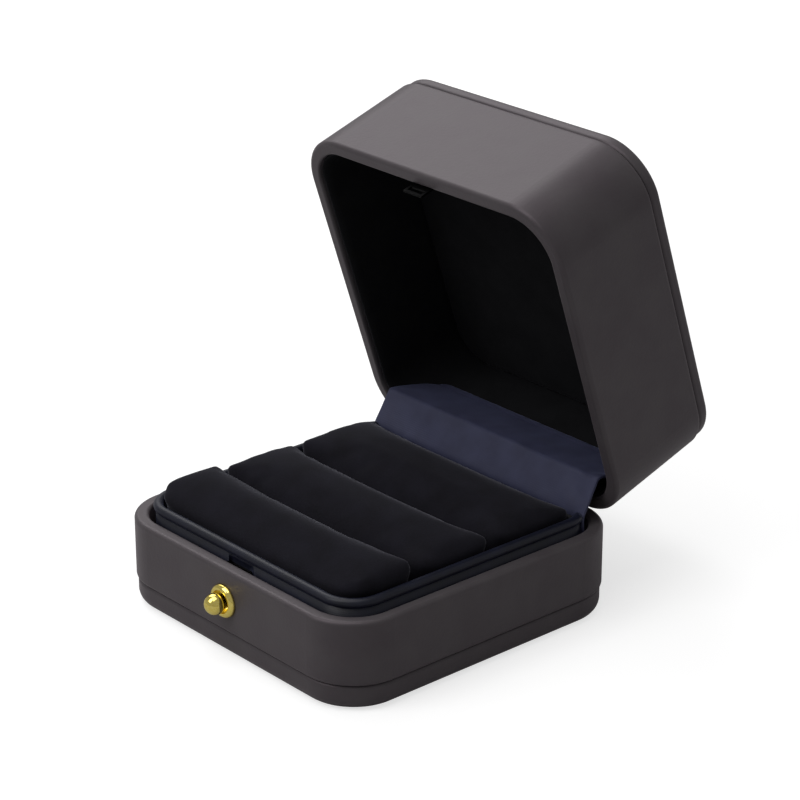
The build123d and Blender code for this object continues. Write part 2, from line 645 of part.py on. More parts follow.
# --- Every piece, in its own file ---------------------------------------------------------------
def base_pieces():
    bottom_wrap, bottom_board = plate_wrap(BOTTOM_PLATE, BOTTOM_INSET, BOTTOM_ROUND)
    return {
        "bottom_board": bottom_board,
        "bottom_wrap": bottom_wrap,
        "bottom_filler": plate_filler(BOTTOM_PLATE, BOTTOM_INSET),
        "base_shell": base_shell(),
        "base_wrap": base_wrap(),
        "insert_tray": insert_tray(),
        "collar_frame": collar_frame(),
        "collar_wrap": collar_wrap(),
        "front_pad": front_pad(),
        "middle_pad": middle_pad(),
        "rear_pad": rear_pad(),
        "hinge_base_leaf": hinge_base_leaf(),
        "hinge_base_rivets": rivets(BASE_HEIGHT - RIVET_DROP),
        "hinge_pin": hinge_pin(),
        "hinge_cover": hinge_cover(),
        "escutcheon": escutcheon(),
        "button_spring": button_spring(),
        "latch_guides": latch_guides(),
    }


def button_pieces():
    return {
        "button_knob": button_knob(),
        "latch_plate": latch_plate(),
        "stem_clip": stem_clip(),
    }


def lid_pieces():
    top_wrap, top_board = plate_wrap(TOP_PLATE, TOP_INSET, TOP_ROUND)
    lid_top = LID_PLATE_Z + TOP_PLATE
    closed = {
        "lid_shell": lid_shell(),
        "lid_wrap": lid_wrap(),
        "lid_top_board": upside_down(top_board, lid_top),
        "lid_top_wrap": upside_down(top_wrap, lid_top),
        "lid_top_filler": upside_down(plate_filler(TOP_PLATE, TOP_INSET), lid_top),
        "lid_wall_lining": lid_wall_lining(),
        "lid_ceiling_pad": lid_ceiling_pad(),
        "lid_keeper": lid_keeper(),
        "keeper_rivets": keeper_rivets(),
        "hinge_lid_leaf": hinge_lid_leaf(),
        "hinge_lid_rivets": rivets(LID_RIM + RIVET_DROP),
    }
    return {name: open_lid(solid) for name, solid in closed.items()}


def write_parts():
    os.makedirs("parts", exist_ok=True)
    for name, solid in {**base_pieces(), **button_pieces(), **lid_pieces()}.items():
        export_step(solid, f"parts/{name}.step")


write_parts()
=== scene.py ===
"""A snap-shut presentation box for two rings, dressed and lit on a pale studio floor.

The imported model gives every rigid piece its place. This script gives each surface its real
finish, and models the soft goods: velvet pads, the fabric roll of the collar, the folded hinge
cover, and the lining and padded ceiling of the lid. Every length here is in metres, and MM
turns millimetres into them. The frame has +Z up, the button at -Y and the hinge at +Y, and
the box rests with its lid open.
"""

from __future__ import annotations

import json
import logging
import math
from dataclasses import dataclass, field
from enum import Enum

import bmesh
import bpy
from mathutils import Matrix, Vector, noise
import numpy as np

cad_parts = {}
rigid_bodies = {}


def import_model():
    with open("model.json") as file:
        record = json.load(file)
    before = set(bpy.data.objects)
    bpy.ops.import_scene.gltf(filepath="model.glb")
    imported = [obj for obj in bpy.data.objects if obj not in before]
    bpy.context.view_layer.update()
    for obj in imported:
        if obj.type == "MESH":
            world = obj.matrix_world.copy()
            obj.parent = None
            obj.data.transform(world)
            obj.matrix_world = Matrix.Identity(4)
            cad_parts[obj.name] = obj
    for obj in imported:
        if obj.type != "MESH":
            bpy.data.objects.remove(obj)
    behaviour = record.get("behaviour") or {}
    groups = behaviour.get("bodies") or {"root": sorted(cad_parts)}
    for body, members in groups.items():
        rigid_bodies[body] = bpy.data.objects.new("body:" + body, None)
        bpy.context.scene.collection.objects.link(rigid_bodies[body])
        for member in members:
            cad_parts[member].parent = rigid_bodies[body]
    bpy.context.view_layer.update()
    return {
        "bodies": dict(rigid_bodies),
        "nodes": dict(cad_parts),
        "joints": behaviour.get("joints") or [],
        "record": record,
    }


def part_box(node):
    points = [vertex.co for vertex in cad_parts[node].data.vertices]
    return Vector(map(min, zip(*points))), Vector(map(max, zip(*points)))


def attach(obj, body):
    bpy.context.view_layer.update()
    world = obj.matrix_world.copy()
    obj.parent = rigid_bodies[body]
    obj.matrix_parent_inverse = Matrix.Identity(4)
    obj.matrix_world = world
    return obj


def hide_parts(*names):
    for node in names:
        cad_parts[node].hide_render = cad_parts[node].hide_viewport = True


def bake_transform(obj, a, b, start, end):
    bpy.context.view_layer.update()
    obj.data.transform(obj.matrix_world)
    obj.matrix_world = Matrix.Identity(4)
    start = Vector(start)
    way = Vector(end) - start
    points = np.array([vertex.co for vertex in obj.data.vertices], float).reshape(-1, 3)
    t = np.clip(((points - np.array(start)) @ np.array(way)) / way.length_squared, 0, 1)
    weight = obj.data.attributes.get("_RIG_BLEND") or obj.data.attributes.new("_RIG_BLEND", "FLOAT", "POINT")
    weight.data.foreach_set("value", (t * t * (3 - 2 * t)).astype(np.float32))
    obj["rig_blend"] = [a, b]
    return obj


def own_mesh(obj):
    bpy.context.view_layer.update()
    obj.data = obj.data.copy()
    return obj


MM = 0.001
LOG = logging.getLogger("ring_box")

Colour = tuple[float, float, float, float]
Socket = bpy.types.NodeSocket


# --- Nodes and colours --------------------------------------------------------------------------
def srgb(code: str) -> Colour:
    """Turns an sRGB hex value into linear light.

    Args:
        code: The colour as "#rrggbb".

    Returns:
        Linear red, green and blue, and an alpha of 1.
    """
    parts = [int(code[i:i + 2], 16) / 255 for i in (1, 3, 5)]
    red, green, blue = (c / 12.92 if c <= 0.04045 else ((c + 0.055) / 1.055) ** 2.4 for c in parts)
    return red, green, blue, 1.0


def add_node(tree: bpy.types.NodeTree, kind: str, settings: dict | None = None,
             inputs: dict | None = None) -> bpy.types.Node:
    """Adds a node with its settings, values and links.

    Args:
        tree: The shader or geometry tree that gets the node.
        kind: The node's bl_idname.
        settings: Properties of the node itself.
        inputs: Input names or indices, each with a value or with the socket to link from.

    Returns:
        The new node.
    """
    node = tree.nodes.new(kind)
    for name, value in (settings or {}).items():
        setattr(node, name, value)
    for key, value in (inputs or {}).items():
        if isinstance(value, bpy.types.NodeSocket):
            tree.links.new(value, node.inputs[key])
        else:
            node.inputs[key].default_value = value
    return node


@dataclass(frozen=True)
class Finish:
    """A surface as it was made, from which a material is built."""

    name: str

    def material(self) -> bpy.types.Material:
        """Returns the finish's material, made on first use."""
        found = bpy.data.materials.get(self.name)
        if found:
            return found
        made = bpy.data.materials.new(self.name)
        made.use_nodes = True
        made.node_tree.nodes.clear()
        output = add_node(made.node_tree, "ShaderNodeOutputMaterial")
        shader = self.shader(made.node_tree)
        made.node_tree.links.new(shader, output.inputs["Surface"])
        return made

    def shader(self, tree: bpy.types.NodeTree) -> Socket:
        """Builds the finish's shader.

        Args:
            tree: The material's empty tree.

        Returns:
            The socket that feeds the surface.
        """
        raise NotImplementedError

    def ramp(self, tree: bpy.types.NodeTree, factor: Socket, low: str, high: str,
             start: float = 0.35, end: float = 0.65) -> Socket:
        """Blends two colours along a factor.

        Args:
            tree: The material's tree.
            factor: What drives the blend.
            low: The colour at start, as sRGB hex.
            high: The colour at end, as sRGB hex.
            start: The factor at which the first colour ends.
            end: The factor at which the second colour begins.

        Returns:
            The blended colour.
        """
        node = add_node(tree, "ShaderNodeValToRGB", inputs={"Fac": factor})
        first, second = node.color_ramp.elements
        first.position, first.color = start, srgb(low)
        second.position, second.color = end, srgb(high)
        return node.outputs["Color"]


@dataclass(frozen=True)
class Leatherette(Finish):
    """PU-coated leatherette on a paper backing, embossed with a fine calf grain.

    The coating gives a satin, slightly warm grey whose grain only breaks up the highlights.
    """

    dark: str = "#3e3b3d"
    light: str = "#444243"
    pebble_mm: float = 0.55      # a real pebble is 0.3 mm, drawn coarser so that it shows
    pebble_depth_mm: float = 0.03
    mottle_mm: float = 9.0       # cloudy variation of the coating
    roughness: float = 0.44

    def shader(self, tree: bpy.types.NodeTree) -> Socket:
        """Builds the coated, grained shader; see Finish.shader."""
        place = add_node(tree, "ShaderNodeTexCoord").outputs["Object"]
        pebble = add_node(tree, "ShaderNodeTexVoronoi", {"feature": "SMOOTH_F1"},
                          {"Vector": place, "Scale": 1 / (self.pebble_mm * MM)})
        crease = add_node(tree, "ShaderNodeTexNoise", None,
                          {"Vector": place, "Scale": 1 / (2.2 * self.pebble_mm * MM),
                           "Detail": 3.0})
        cloud = add_node(tree, "ShaderNodeTexNoise", None,
                         {"Vector": place, "Scale": 1 / (self.mottle_mm * MM), "Detail": 4.0})
        height = add_node(tree, "ShaderNodeMath", {"operation": "MULTIPLY_ADD"},
                          {0: crease.outputs["Fac"], 1: 0.8, 2: pebble.outputs["Distance"]})
        bump = add_node(tree, "ShaderNodeBump", None,
                        {"Height": height.outputs[0], "Strength": 0.55,
                         "Distance": self.pebble_depth_mm * MM})
        gloss = add_node(tree, "ShaderNodeMapRange", None,
                         {"Value": cloud.outputs["Fac"], "To Min": self.roughness - 0.02,
                          "To Max": self.roughness + 0.03})
        colour = self.ramp(tree, cloud.outputs["Fac"], self.dark, self.light)
        coated = add_node(tree, "ShaderNodeBsdfPrincipled", None,
                          {"Base Color": colour, "Roughness": gloss.outputs["Result"],
                           "IOR": 1.5, "Normal": bump.outputs["Normal"],
                           "Sheen Weight": 0.12, "Sheen Roughness": 0.5,
                           "Sheen Tint": srgb("#e4cad9"),
                           "Specular Tint": srgb("#f8e4f0")})
        return coated.outputs[0]


@dataclass(frozen=True)
class WovenCloth(Finish):
    """Fine plain-woven cotton satin, which shows its two sets of threads as a soft tooth.

    It reads the piece's own UV map, laid out in metres along the threads.
    """

    dark: str = "#2f314b"
    light: str = "#3b3e5b"
    thread_mm: float = 0.42      # real threads are 0.2 mm apart, drawn coarser so that they show
    relief_mm: float = 0.05
    slub_mm: float = 5.0         # slow thickening of the threads
    roughness: float = 0.72
    sheen: float = 0.35
    specular: float = 0.5

    def threads(self, tree: bpy.types.NodeTree, axis: str, place: Socket) -> Socket:
        """Builds one set of threads.

        Args:
            tree: The material's tree.
            axis: "X" or "Y", across the threads.
            place: The coordinates, in metres.

        Returns:
            The threads' height, from 0 to 1.
        """
        wave = add_node(tree, "ShaderNodeTexWave",
                        {"bands_direction": axis, "wave_profile": "SIN"},
                        {"Vector": place, "Scale": 0.314 / (self.thread_mm * MM),
                         "Distortion": 1.2, "Detail": 1.0, "Detail Scale": 0.6})
        return wave.outputs["Fac"]

    def shader(self, tree: bpy.types.NodeTree) -> Socket:
        """Builds the woven shader; see Finish.shader."""
        coordinates = add_node(tree, "ShaderNodeTexCoord")
        place = coordinates.outputs["UV"]
        slub = add_node(tree, "ShaderNodeTexNoise", None,
                        {"Vector": coordinates.outputs["Object"],
                         "Scale": 1 / (self.slub_mm * MM), "Detail": 5.0})
        weave = add_node(tree, "ShaderNodeMath", {"operation": "MULTIPLY"},
                         {0: self.threads(tree, "X", place), 1: self.threads(tree, "Y", place)})
        shade = add_node(tree, "ShaderNodeMath", {"operation": "MULTIPLY_ADD"},
                         {0: weave.outputs[0], 1: 0.15, 2: slub.outputs["Fac"]})
        bump = add_node(tree, "ShaderNodeBump", None,
                        {"Height": weave.outputs[0], "Strength": 0.35,
                         "Distance": self.relief_mm * MM})
        colour = self.ramp(tree, shade.outputs[0], self.dark, self.light, 0.4, 0.85)
        cloth = add_node(tree, "ShaderNodeBsdfPrincipled", None,
                         {"Base Color": colour, "Roughness": self.roughness,
                          "Specular IOR Level": self.specular,
                          "Normal": bump.outputs["Normal"], "Sheen Weight": self.sheen,
                          "Sheen Roughness": 0.4, "Sheen Tint": srgb("#8d93b8")})
        return cloth.outputs[0]


@dataclass(frozen=True)
class Velvet(Finish):
    """Short-pile velvet, which swallows light head on and turns grey along its edges."""

    dark: str = "#141318"
    light: str = "#1a1920"
    pile_mm: float = 0.3         # tufts, drawn coarser than the real 0.1 mm so that they show
    relief_mm: float = 0.06
    nap_mm: float = 6.0          # patches where the pile leans one way
    sheen: float = 0.5

    def shader(self, tree: bpy.types.NodeTree) -> Socket:
        """Builds the piled shader; see Finish.shader."""
        place = add_node(tree, "ShaderNodeTexCoord").outputs["Object"]
        pile = add_node(tree, "ShaderNodeTexNoise", None,
                        {"Vector": place, "Scale": 1 / (self.pile_mm * MM), "Detail": 2.0})
        nap = add_node(tree, "ShaderNodeTexNoise", None,
                       {"Vector": place, "Scale": 1 / (self.nap_mm * MM), "Detail": 3.0})
        lean = add_node(tree, "ShaderNodeMath", {"operation": "MULTIPLY_ADD"},
                        {0: pile.outputs["Fac"], 1: 0.4, 2: nap.outputs["Fac"]})
        bump = add_node(tree, "ShaderNodeBump", None,
                        {"Height": pile.outputs["Fac"], "Strength": 0.6,
                         "Distance": self.relief_mm * MM})
        colour = self.ramp(tree, lean.outputs[0], self.dark, self.light, 0.5, 0.9)
        piled = add_node(tree, "ShaderNodeBsdfPrincipled", None,
                         {"Base Color": colour, "Roughness": 0.95,
                          "Specular IOR Level": 0.1, "Normal": bump.outputs["Normal"],
                          "Sheen Weight": self.sheen, "Sheen Roughness": 0.35,
                          "Sheen Tint": srgb("#9a9aa6")})
        return piled.outputs[0]


@dataclass(frozen=True)
class Metal(Finish):
    """A metal with a turned, drawn or blackened surface."""

    colour: str = "#b8babd"
    worn: str = "#a4a6a9"
    roughness: float = 0.3
    scratch_mm: float = 0.25     # spacing of the turning or drawing marks
    relief_mm: float = 0.002

    def shader(self, tree: bpy.types.NodeTree) -> Socket:
        """Builds the metal shader; see Finish.shader."""
        place = add_node(tree, "ShaderNodeTexCoord").outputs["Object"]
        marks = add_node(tree, "ShaderNodeTexNoise", None,
                         {"Vector": place, "Scale": 1 / (self.scratch_mm * MM), "Detail": 4.0})
        gloss = add_node(tree, "ShaderNodeMapRange", None,
                         {"Value": marks.outputs["Fac"], "To Min": self.roughness * 0.8,
                          "To Max": self.roughness * 1.25})
        bump = add_node(tree, "ShaderNodeBump", None,
                        {"Height": marks.outputs["Fac"], "Strength": 0.2,
                         "Distance": self.relief_mm * MM})
        colour = self.ramp(tree, marks.outputs["Fac"], self.worn, self.colour)
        bare = add_node(tree, "ShaderNodeBsdfPrincipled", None,
                        {"Base Color": colour, "Metallic": 1.0,
                         "Roughness": gloss.outputs["Result"],
                         "Normal": bump.outputs["Normal"]})
        return bare.outputs[0]


@dataclass(frozen=True)
class Moulding(Finish):
    """A dull, pulped or moulded body: ABS shells, or grey board with its fibres."""

    dark: str = "#1b1b1c"
    light: str = "#242425"
    grit_mm: float = 0.5
    relief_mm: float = 0.01
    roughness: float = 0.55

    def shader(self, tree: bpy.types.NodeTree) -> Socket:
        """Builds the dull shader; see Finish.shader."""
        place = add_node(tree, "ShaderNodeTexCoord").outputs["Object"]
        grit = add_node(tree, "ShaderNodeTexNoise", None,
                        {"Vector": place, "Scale": 1 / (self.grit_mm * MM), "Detail": 5.0})
        bump = add_node(tree, "ShaderNodeBump", None,
                        {"Height": grit.outputs["Fac"], "Strength": 0.4,
                         "Distance": self.relief_mm * MM})
        colour = self.ramp(tree, grit.outputs["Fac"], self.dark, self.light)
        dull = add_node(tree, "ShaderNodeBsdfPrincipled", None,
                        {"Base Color": colour, "Roughness": self.roughness, "IOR": 1.5,
                         "Normal": bump.outputs["Normal"]})
        return dull.outputs[0]


class Slot(Enum):
    """The record's material slots, each with the finish that it gets."""

    LEATHERETTE = ("leatherette", Leatherette("pu_leatherette"))
    SHELL = ("moulded_shell", Moulding("moulded_abs"))
    BOARD = ("grey_board", Moulding("black_faced_board", "#1e1d20", "#272629", 0.8, 0.02, 0.9))
    NAVY = ("navy_fabric", WovenCloth("woven_navy_cotton"))
    VELVET = ("black_velvet", Velvet("short_pile_velvet"))
    GILT = ("gilt_brass", Metal("polished_gilt_brass", "#fbe98c", "#f1d768", 0.12))
    DARK_STEEL = ("dark_steel", Metal("blackened_steel", "#0e0e0f", "#0a0a0b", 0.6))
    BRIGHT_STEEL = ("bright_steel", Metal("nickel_plated_steel", "#b4b4b6", "#8f8f92", 0.28))

    @property
    def key(self) -> str:
        """The slot's name in the record."""
        return self.value[0]

    @property
    def finish(self) -> Finish:
        """The slot's finish."""
        return self.value[1]


# The collar is bound in a closer, glossier cloth than the hinge cover, so its roll shows a line of light.
# Its navy is painted far darker than the hinge cover's same navy, as painted shade for the narrow gap
# between the base's rim and the collar; the lid's flock has next to no pile, so it stays black.
SHADE_DARKENED_PIPING_SATIN = WovenCloth("navy_satin_piping", "#0b0d19", "#121528", roughness=0.42,
                          sheen=0.15, specular=0.35)
LID_FLOCK = Velvet("black_flock", "#18181a", "#1d1d1f", sheen=0.15)


# --- Shapes that several pieces share -----------------------------------------------------------
@dataclass(frozen=True)
class RoundedSquare:
    """The plan of the box: a square with round corners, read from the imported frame."""

    half_x: float
    half_y: float
    radius: float

    def inset(self, distance: float) -> "RoundedSquare":
        """Returns the same outline, moved in by a distance."""
        return RoundedSquare(self.half_x - distance, self.half_y - distance,
                             max(self.radius - distance, 0.2 * MM))

    def walk(self, step: float) -> list[tuple[Vector, Vector, float]]:
        """Walks once round the outline, anticlockwise from the middle of the rear side.

        Args:
            step: The longest distance between two points on a corner; sides take 2 steps.

        Returns:
            Points, outward normals, and lengths walked; the last point closes the outline.
        """
        core_x, core_y = self.half_x - self.radius, self.half_y - self.radius
        corners = [(-core_x, core_y, 90), (-core_x, -core_y, 180),
                   (core_x, -core_y, 270), (core_x, core_y, 0)]
        stops: list[tuple[Vector, Vector]] = [(Vector((0, self.half_y, 0)), Vector((0, 1, 0)))]
        arcs = max(4, math.ceil(self.radius * math.pi / 2 / step))
        for x, y, start in corners:
            for i in range(arcs + 1):
                angle = math.radians(start + 90 * i / arcs)
                normal = Vector((math.cos(angle), math.sin(angle), 0))
                stops.append((Vector((x, y, 0)) + normal * self.radius, normal))
        stops.append(stops[0])
        walked: list[tuple[Vector, Vector, float]] = [(*stops[0], 0.0)]
        for (place, normal), (last, _) in zip(stops[1:], stops):
            pieces = max(1, math.ceil((place - last).length / (2 * step)))
            for i in range(1, pieces + 1):
                point = last.lerp(place, i / pieces)
                length = walked[-1][2] + (point - walked[-1][0]).length
                walked.append((point, normal, length))
        return walked


@dataclass(frozen=True)
class LidPose:
    """The hinge's axis and how far it is open at rest."""

    y: float
    z: float
    angle: float

    def opening(self) -> Matrix:
        """Returns the turn that takes the closed lid to where it rests open."""
        there = Matrix.Translation((0, self.y, self.z))
        return there @ Matrix.Rotation(-self.angle, 4, "X") @ there.inverted()


def new_object(name: str, mesh: bpy.types.Mesh) -> bpy.types.Object:
    """Links a mesh into the scene as an object at the origin.

    Args:
        name: The piece's name.
        mesh: Its finished mesh, in place.

    Returns:
        The new object, with smooth faces.
    """
    mesh.name = name
    for face in mesh.polygons:
        face.use_smooth = True
    made = bpy.data.objects.new(name, mesh)
    bpy.context.scene.collection.objects.link(made)
    return made


def mesh_from(builder: bmesh.types.BMesh) -> bpy.types.Mesh:
    """Turns a bmesh into a mesh whose faces point outwards, and frees it."""
    bmesh.ops.recalc_face_normals(builder, faces=builder.faces)
    mesh = bpy.data.meshes.new("piece")
    builder.to_mesh(mesh)
    builder.free()
    return mesh


def baked(obj: bpy.types.Object) -> bpy.types.Mesh:
    """Returns the evaluated object as a plain mesh, and deletes the object."""
    graph = bpy.context.evaluated_depsgraph_get()
    mesh = bpy.data.meshes.new_from_object(obj.evaluated_get(graph), depsgraph=graph)
    bpy.data.objects.remove(obj)
    return mesh


def dress(obj: bpy.types.Object, slot: Slot, body: str, *nodes: str,
          finish: Finish | None = None) -> bpy.types.Object:
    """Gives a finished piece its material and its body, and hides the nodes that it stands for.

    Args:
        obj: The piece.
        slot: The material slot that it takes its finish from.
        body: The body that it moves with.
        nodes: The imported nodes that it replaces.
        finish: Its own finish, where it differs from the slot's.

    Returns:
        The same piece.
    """
    obj.data.materials.clear()
    obj.data.materials.append((finish or slot.finish).material())
    if "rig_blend" not in obj:
        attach(obj, body)
    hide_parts(*nodes)
    slot.key
    LOG.info("%s: %d faces", obj.name, len(obj.data.polygons))
    return obj


def lathe(profile: list[tuple[float, float]], z: float, steps: int) -> bpy.types.Mesh:
    """Turns a profile about a line along Y.

    Args:
        profile: Radius and Y of each point, from pole to pole or once round a ring.
        z: The height of the axis.
        steps: How many sides the turned piece has.

    Returns:
        A closed mesh.
    """
    builder = bmesh.new()
    rings: list[list[bmesh.types.BMVert]] = []
    for radius, y in profile:
        if radius < 1e-7:
            rings.append([builder.verts.new((0, y, z))])
            continue
        turn = [2 * math.pi * i / steps for i in range(steps)]
        rings.append([builder.verts.new((radius * math.cos(a), y, z + radius * math.sin(a)))
                      for a in turn])
    closed = len(rings[0]) > 1
    pairs = list(zip(rings, rings[1:])) + ([(rings[-1], rings[0])] if closed else [])
    for one, two in pairs:
        for i in range(steps):
            j = (i + 1) % steps
            corners = [one[i % len(one)], one[j % len(one)], two[j % len(two)], two[i % len(two)]]
            builder.faces.new(dict.fromkeys(corners))
    return mesh_from(builder)


def arc(centre: tuple[float, float], radius: float, start: float, end: float,
        steps: int) -> list[tuple[float, float]]:
    """Lays points along an arc.

    Args:
        centre: The arc's centre.
        radius: Its radius.
        start: The first point's angle, in degrees.
        end: The last point's angle, in degrees.
        steps: How many pieces the arc has.

    Returns:
        The points, from start to end.
    """
    angles = [math.radians(start + (end - start) * i / steps) for i in range(steps + 1)]
    return [(centre[0] + radius * math.cos(a), centre[1] + radius * math.sin(a)) for a in angles]


def ease(value: float, start: float, end: float) -> float:
    """Returns 0 below start and 1 above end, with a smooth step between them."""
    t = min(max((value - start) / (end - start), 0.0), 1.0)
    return t * t * (3 - 2 * t)


# --- Geometry Nodes -----------------------------------------------------------------------------
@dataclass
class NodeRecipe:
    """A Geometry Nodes tree with named inputs, and the object that it builds."""

    name: str
    inputs: dict[str, tuple[str, object]]
    tree: bpy.types.NodeTree = field(init=False)
    source: bpy.types.Node = field(init=False)

    def __post_init__(self) -> None:
        """Makes the empty tree and its named inputs."""
        self.tree = bpy.data.node_groups.new(self.name, "GeometryNodeTree")
        face = self.tree.interface
        face.new_socket("Geometry", in_out="INPUT", socket_type="NodeSocketGeometry")
        for label, (kind, _) in self.inputs.items():
            face.new_socket(label, in_out="INPUT", socket_type=kind)
        face.new_socket("Geometry", in_out="OUTPUT", socket_type="NodeSocketGeometry")
        self.source = add_node(self.tree, "NodeGroupInput")

    def given(self, label: str) -> Socket:
        """Returns the socket of one named input."""
        return self.source.outputs[label]

    def build(self, shape: Socket, data: bpy.types.ID, finish: Finish) -> bpy.types.Mesh:
        """Ends the tree, runs it on an object, and returns the plain result.

        Args:
            shape: The geometry that the tree has made.
            data: The mesh or curve that the tree starts from.
            finish: The finish that it sets.

        Returns:
            The realised mesh.
        """
        real = add_node(self.tree, "GeometryNodeRealizeInstances", None, {"Geometry": shape})
        painted = add_node(self.tree, "GeometryNodeSetMaterial", None,
                           {"Geometry": real.outputs["Geometry"], "Material": finish.material()})
        add_node(self.tree, "NodeGroupOutput", None, {0: painted.outputs["Geometry"]})
        holder = bpy.data.objects.new(self.name, data)
        bpy.context.scene.collection.objects.link(holder)
        modifier = holder.modifiers.new(self.name, "NODES")
        modifier.node_group = self.tree
        for item in self.tree.interface.items_tree:
            if item.in_out == "INPUT" and item.name in self.inputs:
                modifier[item.identifier] = self.inputs[item.name][1]
        return baked(holder)


def empty_mesh() -> bpy.types.Mesh:
    """Returns a mesh with nothing in it, for a tree that makes all its geometry."""
    return bpy.data.meshes.new("start")


# --- Leatherette body ---------------------------------------------------------------------------
@dataclass
class CarriedNodes:
    """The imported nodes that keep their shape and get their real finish."""

    frame: dict

    def dress(self) -> None:
        """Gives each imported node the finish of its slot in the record."""
        slots = {slot.key: slot for slot in Slot}
        for part in self.frame["record"]["subparts"]:
            node = self.frame["nodes"][part["node"]]
            material = slots[part["material_slot"]].finish.material()
            node.data.materials.clear()
            node.data.materials.append(material)
        LOG.info("%d packed nodes dressed", len(self.frame["nodes"]))


# --- Insert -------------------------------------------------------------------------------------
@dataclass
class VelvetPad:
    """A foam pad under velvet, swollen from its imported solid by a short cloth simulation."""

    frame: dict
    node: str
    body: str
    shrink: float = 0.35 * MM        # the starting shape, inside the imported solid
    voxel: float = 1.5 * MM
    swell: float = 0.9 * MM          # the furthest that the crown may rise
    side_room: float = 0.26 * MM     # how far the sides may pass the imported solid
    over_ends: float = 0.0           # how far each end lies over the collar
    over_front: float = 0.0
    over_rear: float = 0.0
    fill_front: float = 0.0          # how far the pad swells up along the slot in front of it
    fill_rear: float = 0.0
    band: float = 4.0 * MM           # how far in from a side its lap begins
    rear_band: float = 3.0 * MM
    band_end: float = 0.5 * MM       # and how far in it is whole
    lap_rise: tuple[float, float] = (-0.1 * MM, 0.5 * MM)      # above the collar's top
    rear_rise: tuple[float, float] = (-1.5 * MM, -0.9 * MM)    # over the lower rear card
    fill_rise: float = 2.0 * MM
    scale: float = 8.0               # the simulation runs at about the size of a seat pad
    pressure: float = 4.0
    frames: int = 20
    fill: float = 0.85

    def start(self) -> bpy.types.Object:
        """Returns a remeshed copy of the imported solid, drawn in and scaled up."""
        builder = bmesh.new()
        builder.from_mesh(self.frame["nodes"][self.node].data)
        bmesh.ops.remove_doubles(builder, verts=builder.verts, dist=0.001 * MM)
        builder.normal_update()
        mesh = mesh_from(builder)
        mesh.transform(Matrix.Scale(self.scale, 4))
        holder = new_object(self.node + "_start", mesh)
        remesh = holder.modifiers.new("remesh", "REMESH")
        remesh.mode, remesh.voxel_size = "VOXEL", self.voxel * self.scale
        smooth = holder.modifiers.new("smooth", "SMOOTH")
        smooth.factor, smooth.iterations = 0.5, 2
        mesh = baked(holder)
        for vertex in mesh.vertices:
            vertex.co -= vertex.normal * self.shrink * self.scale
        LOG.info("%s starts from %d points", self.node, len(mesh.vertices))
        return new_object(self.node + "_cloth", mesh)

    def simulate(self, holder: bpy.types.Object) -> bpy.types.Mesh:
        """Blows the pad up like a sewn cover over foam.

        Args:
            holder: The remeshed copy.

        Returns:
            Its mesh, each point moved no further than the caps allow.
        """
        rest = [v.co.copy() for v in holder.data.vertices]
        cloth = holder.modifiers.new("cloth", "CLOTH")
        cloth.settings.use_pressure = True
        cloth.settings.uniform_pressure_force = self.pressure
        cloth.settings.effector_weights.gravity = 0.0
        cloth.settings.quality = 3
        cloth.point_cache.frame_end = self.frames
        scene = bpy.context.scene
        for frame in range(1, self.frames + 1):
            scene.frame_set(frame)
        mesh = baked(holder)
        scene.frame_set(1)
        cap = (self.shrink + self.swell) * self.scale
        for vertex, place in zip(mesh.vertices, rest):
            move = vertex.co - place
            if move.length > cap:
                vertex.co = place + move.normalized() * cap
        return mesh

    def lap(self, place: Vector, low: Vector, high: Vector) -> Vector:
        """Lets the pad lie over the collar, and swell along its slots.

        Args:
            place: A point of the pad.
            low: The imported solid's lower corner.
            high: Its upper corner.

        Returns:
            Where the point goes.
        """
        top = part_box("collar_wrap")[1].z
        above, above_card = (ease(place.z, top + start, top + end)
                             for start, end in (self.lap_rise, self.rear_rise))
        side = math.copysign(1.0, place.x)
        end = ease(abs(place.x), high.x - self.band, high.x - self.band_end)
        front = ease(-place.y, -low.y - self.band, -low.y - self.band_end)
        rear = ease(place.y, high.y - self.rear_band, high.y - self.band_end)
        back = rear * above_card * self.over_rear - front * above * self.over_front
        up = ease(place.z, top, top + self.fill_rise)
        up *= front * self.fill_front + rear * self.fill_rear
        return place + Vector((side * end * above * self.over_ends, back, up))

    def build(self, name: str) -> bpy.types.Object:
        """Builds the pad.

        Args:
            name: The piece's name.

        Returns:
            The dressed pad, which replaces its node.
        """
        holder = self.start()
        mesh = self.simulate(holder)
        mesh.transform(Matrix.Scale(1 / self.scale, 4))
        original = self.frame["nodes"][self.node].data
        low = Vector([min(v.co[i] for v in original.vertices) for i in range(3)])
        high = Vector([max(v.co[i] for v in original.vertices) for i in range(3)])
        for vertex in mesh.vertices:
            for i in (0, 1):
                vertex.co[i] = min(max(vertex.co[i], low[i] - self.side_room),
                                   high[i] + self.side_room)
            vertex.co.z = max(vertex.co.z, low.z)
            vertex.co = self.lap(vertex.co, low, high)
        pad = new_object(name, mesh)
        pad.modifiers.new("rounding", "SUBSURF").levels = 1
        pad.modifiers["rounding"].render_levels = 1
        return dress(pad, Slot.VELVET, self.body, self.node)


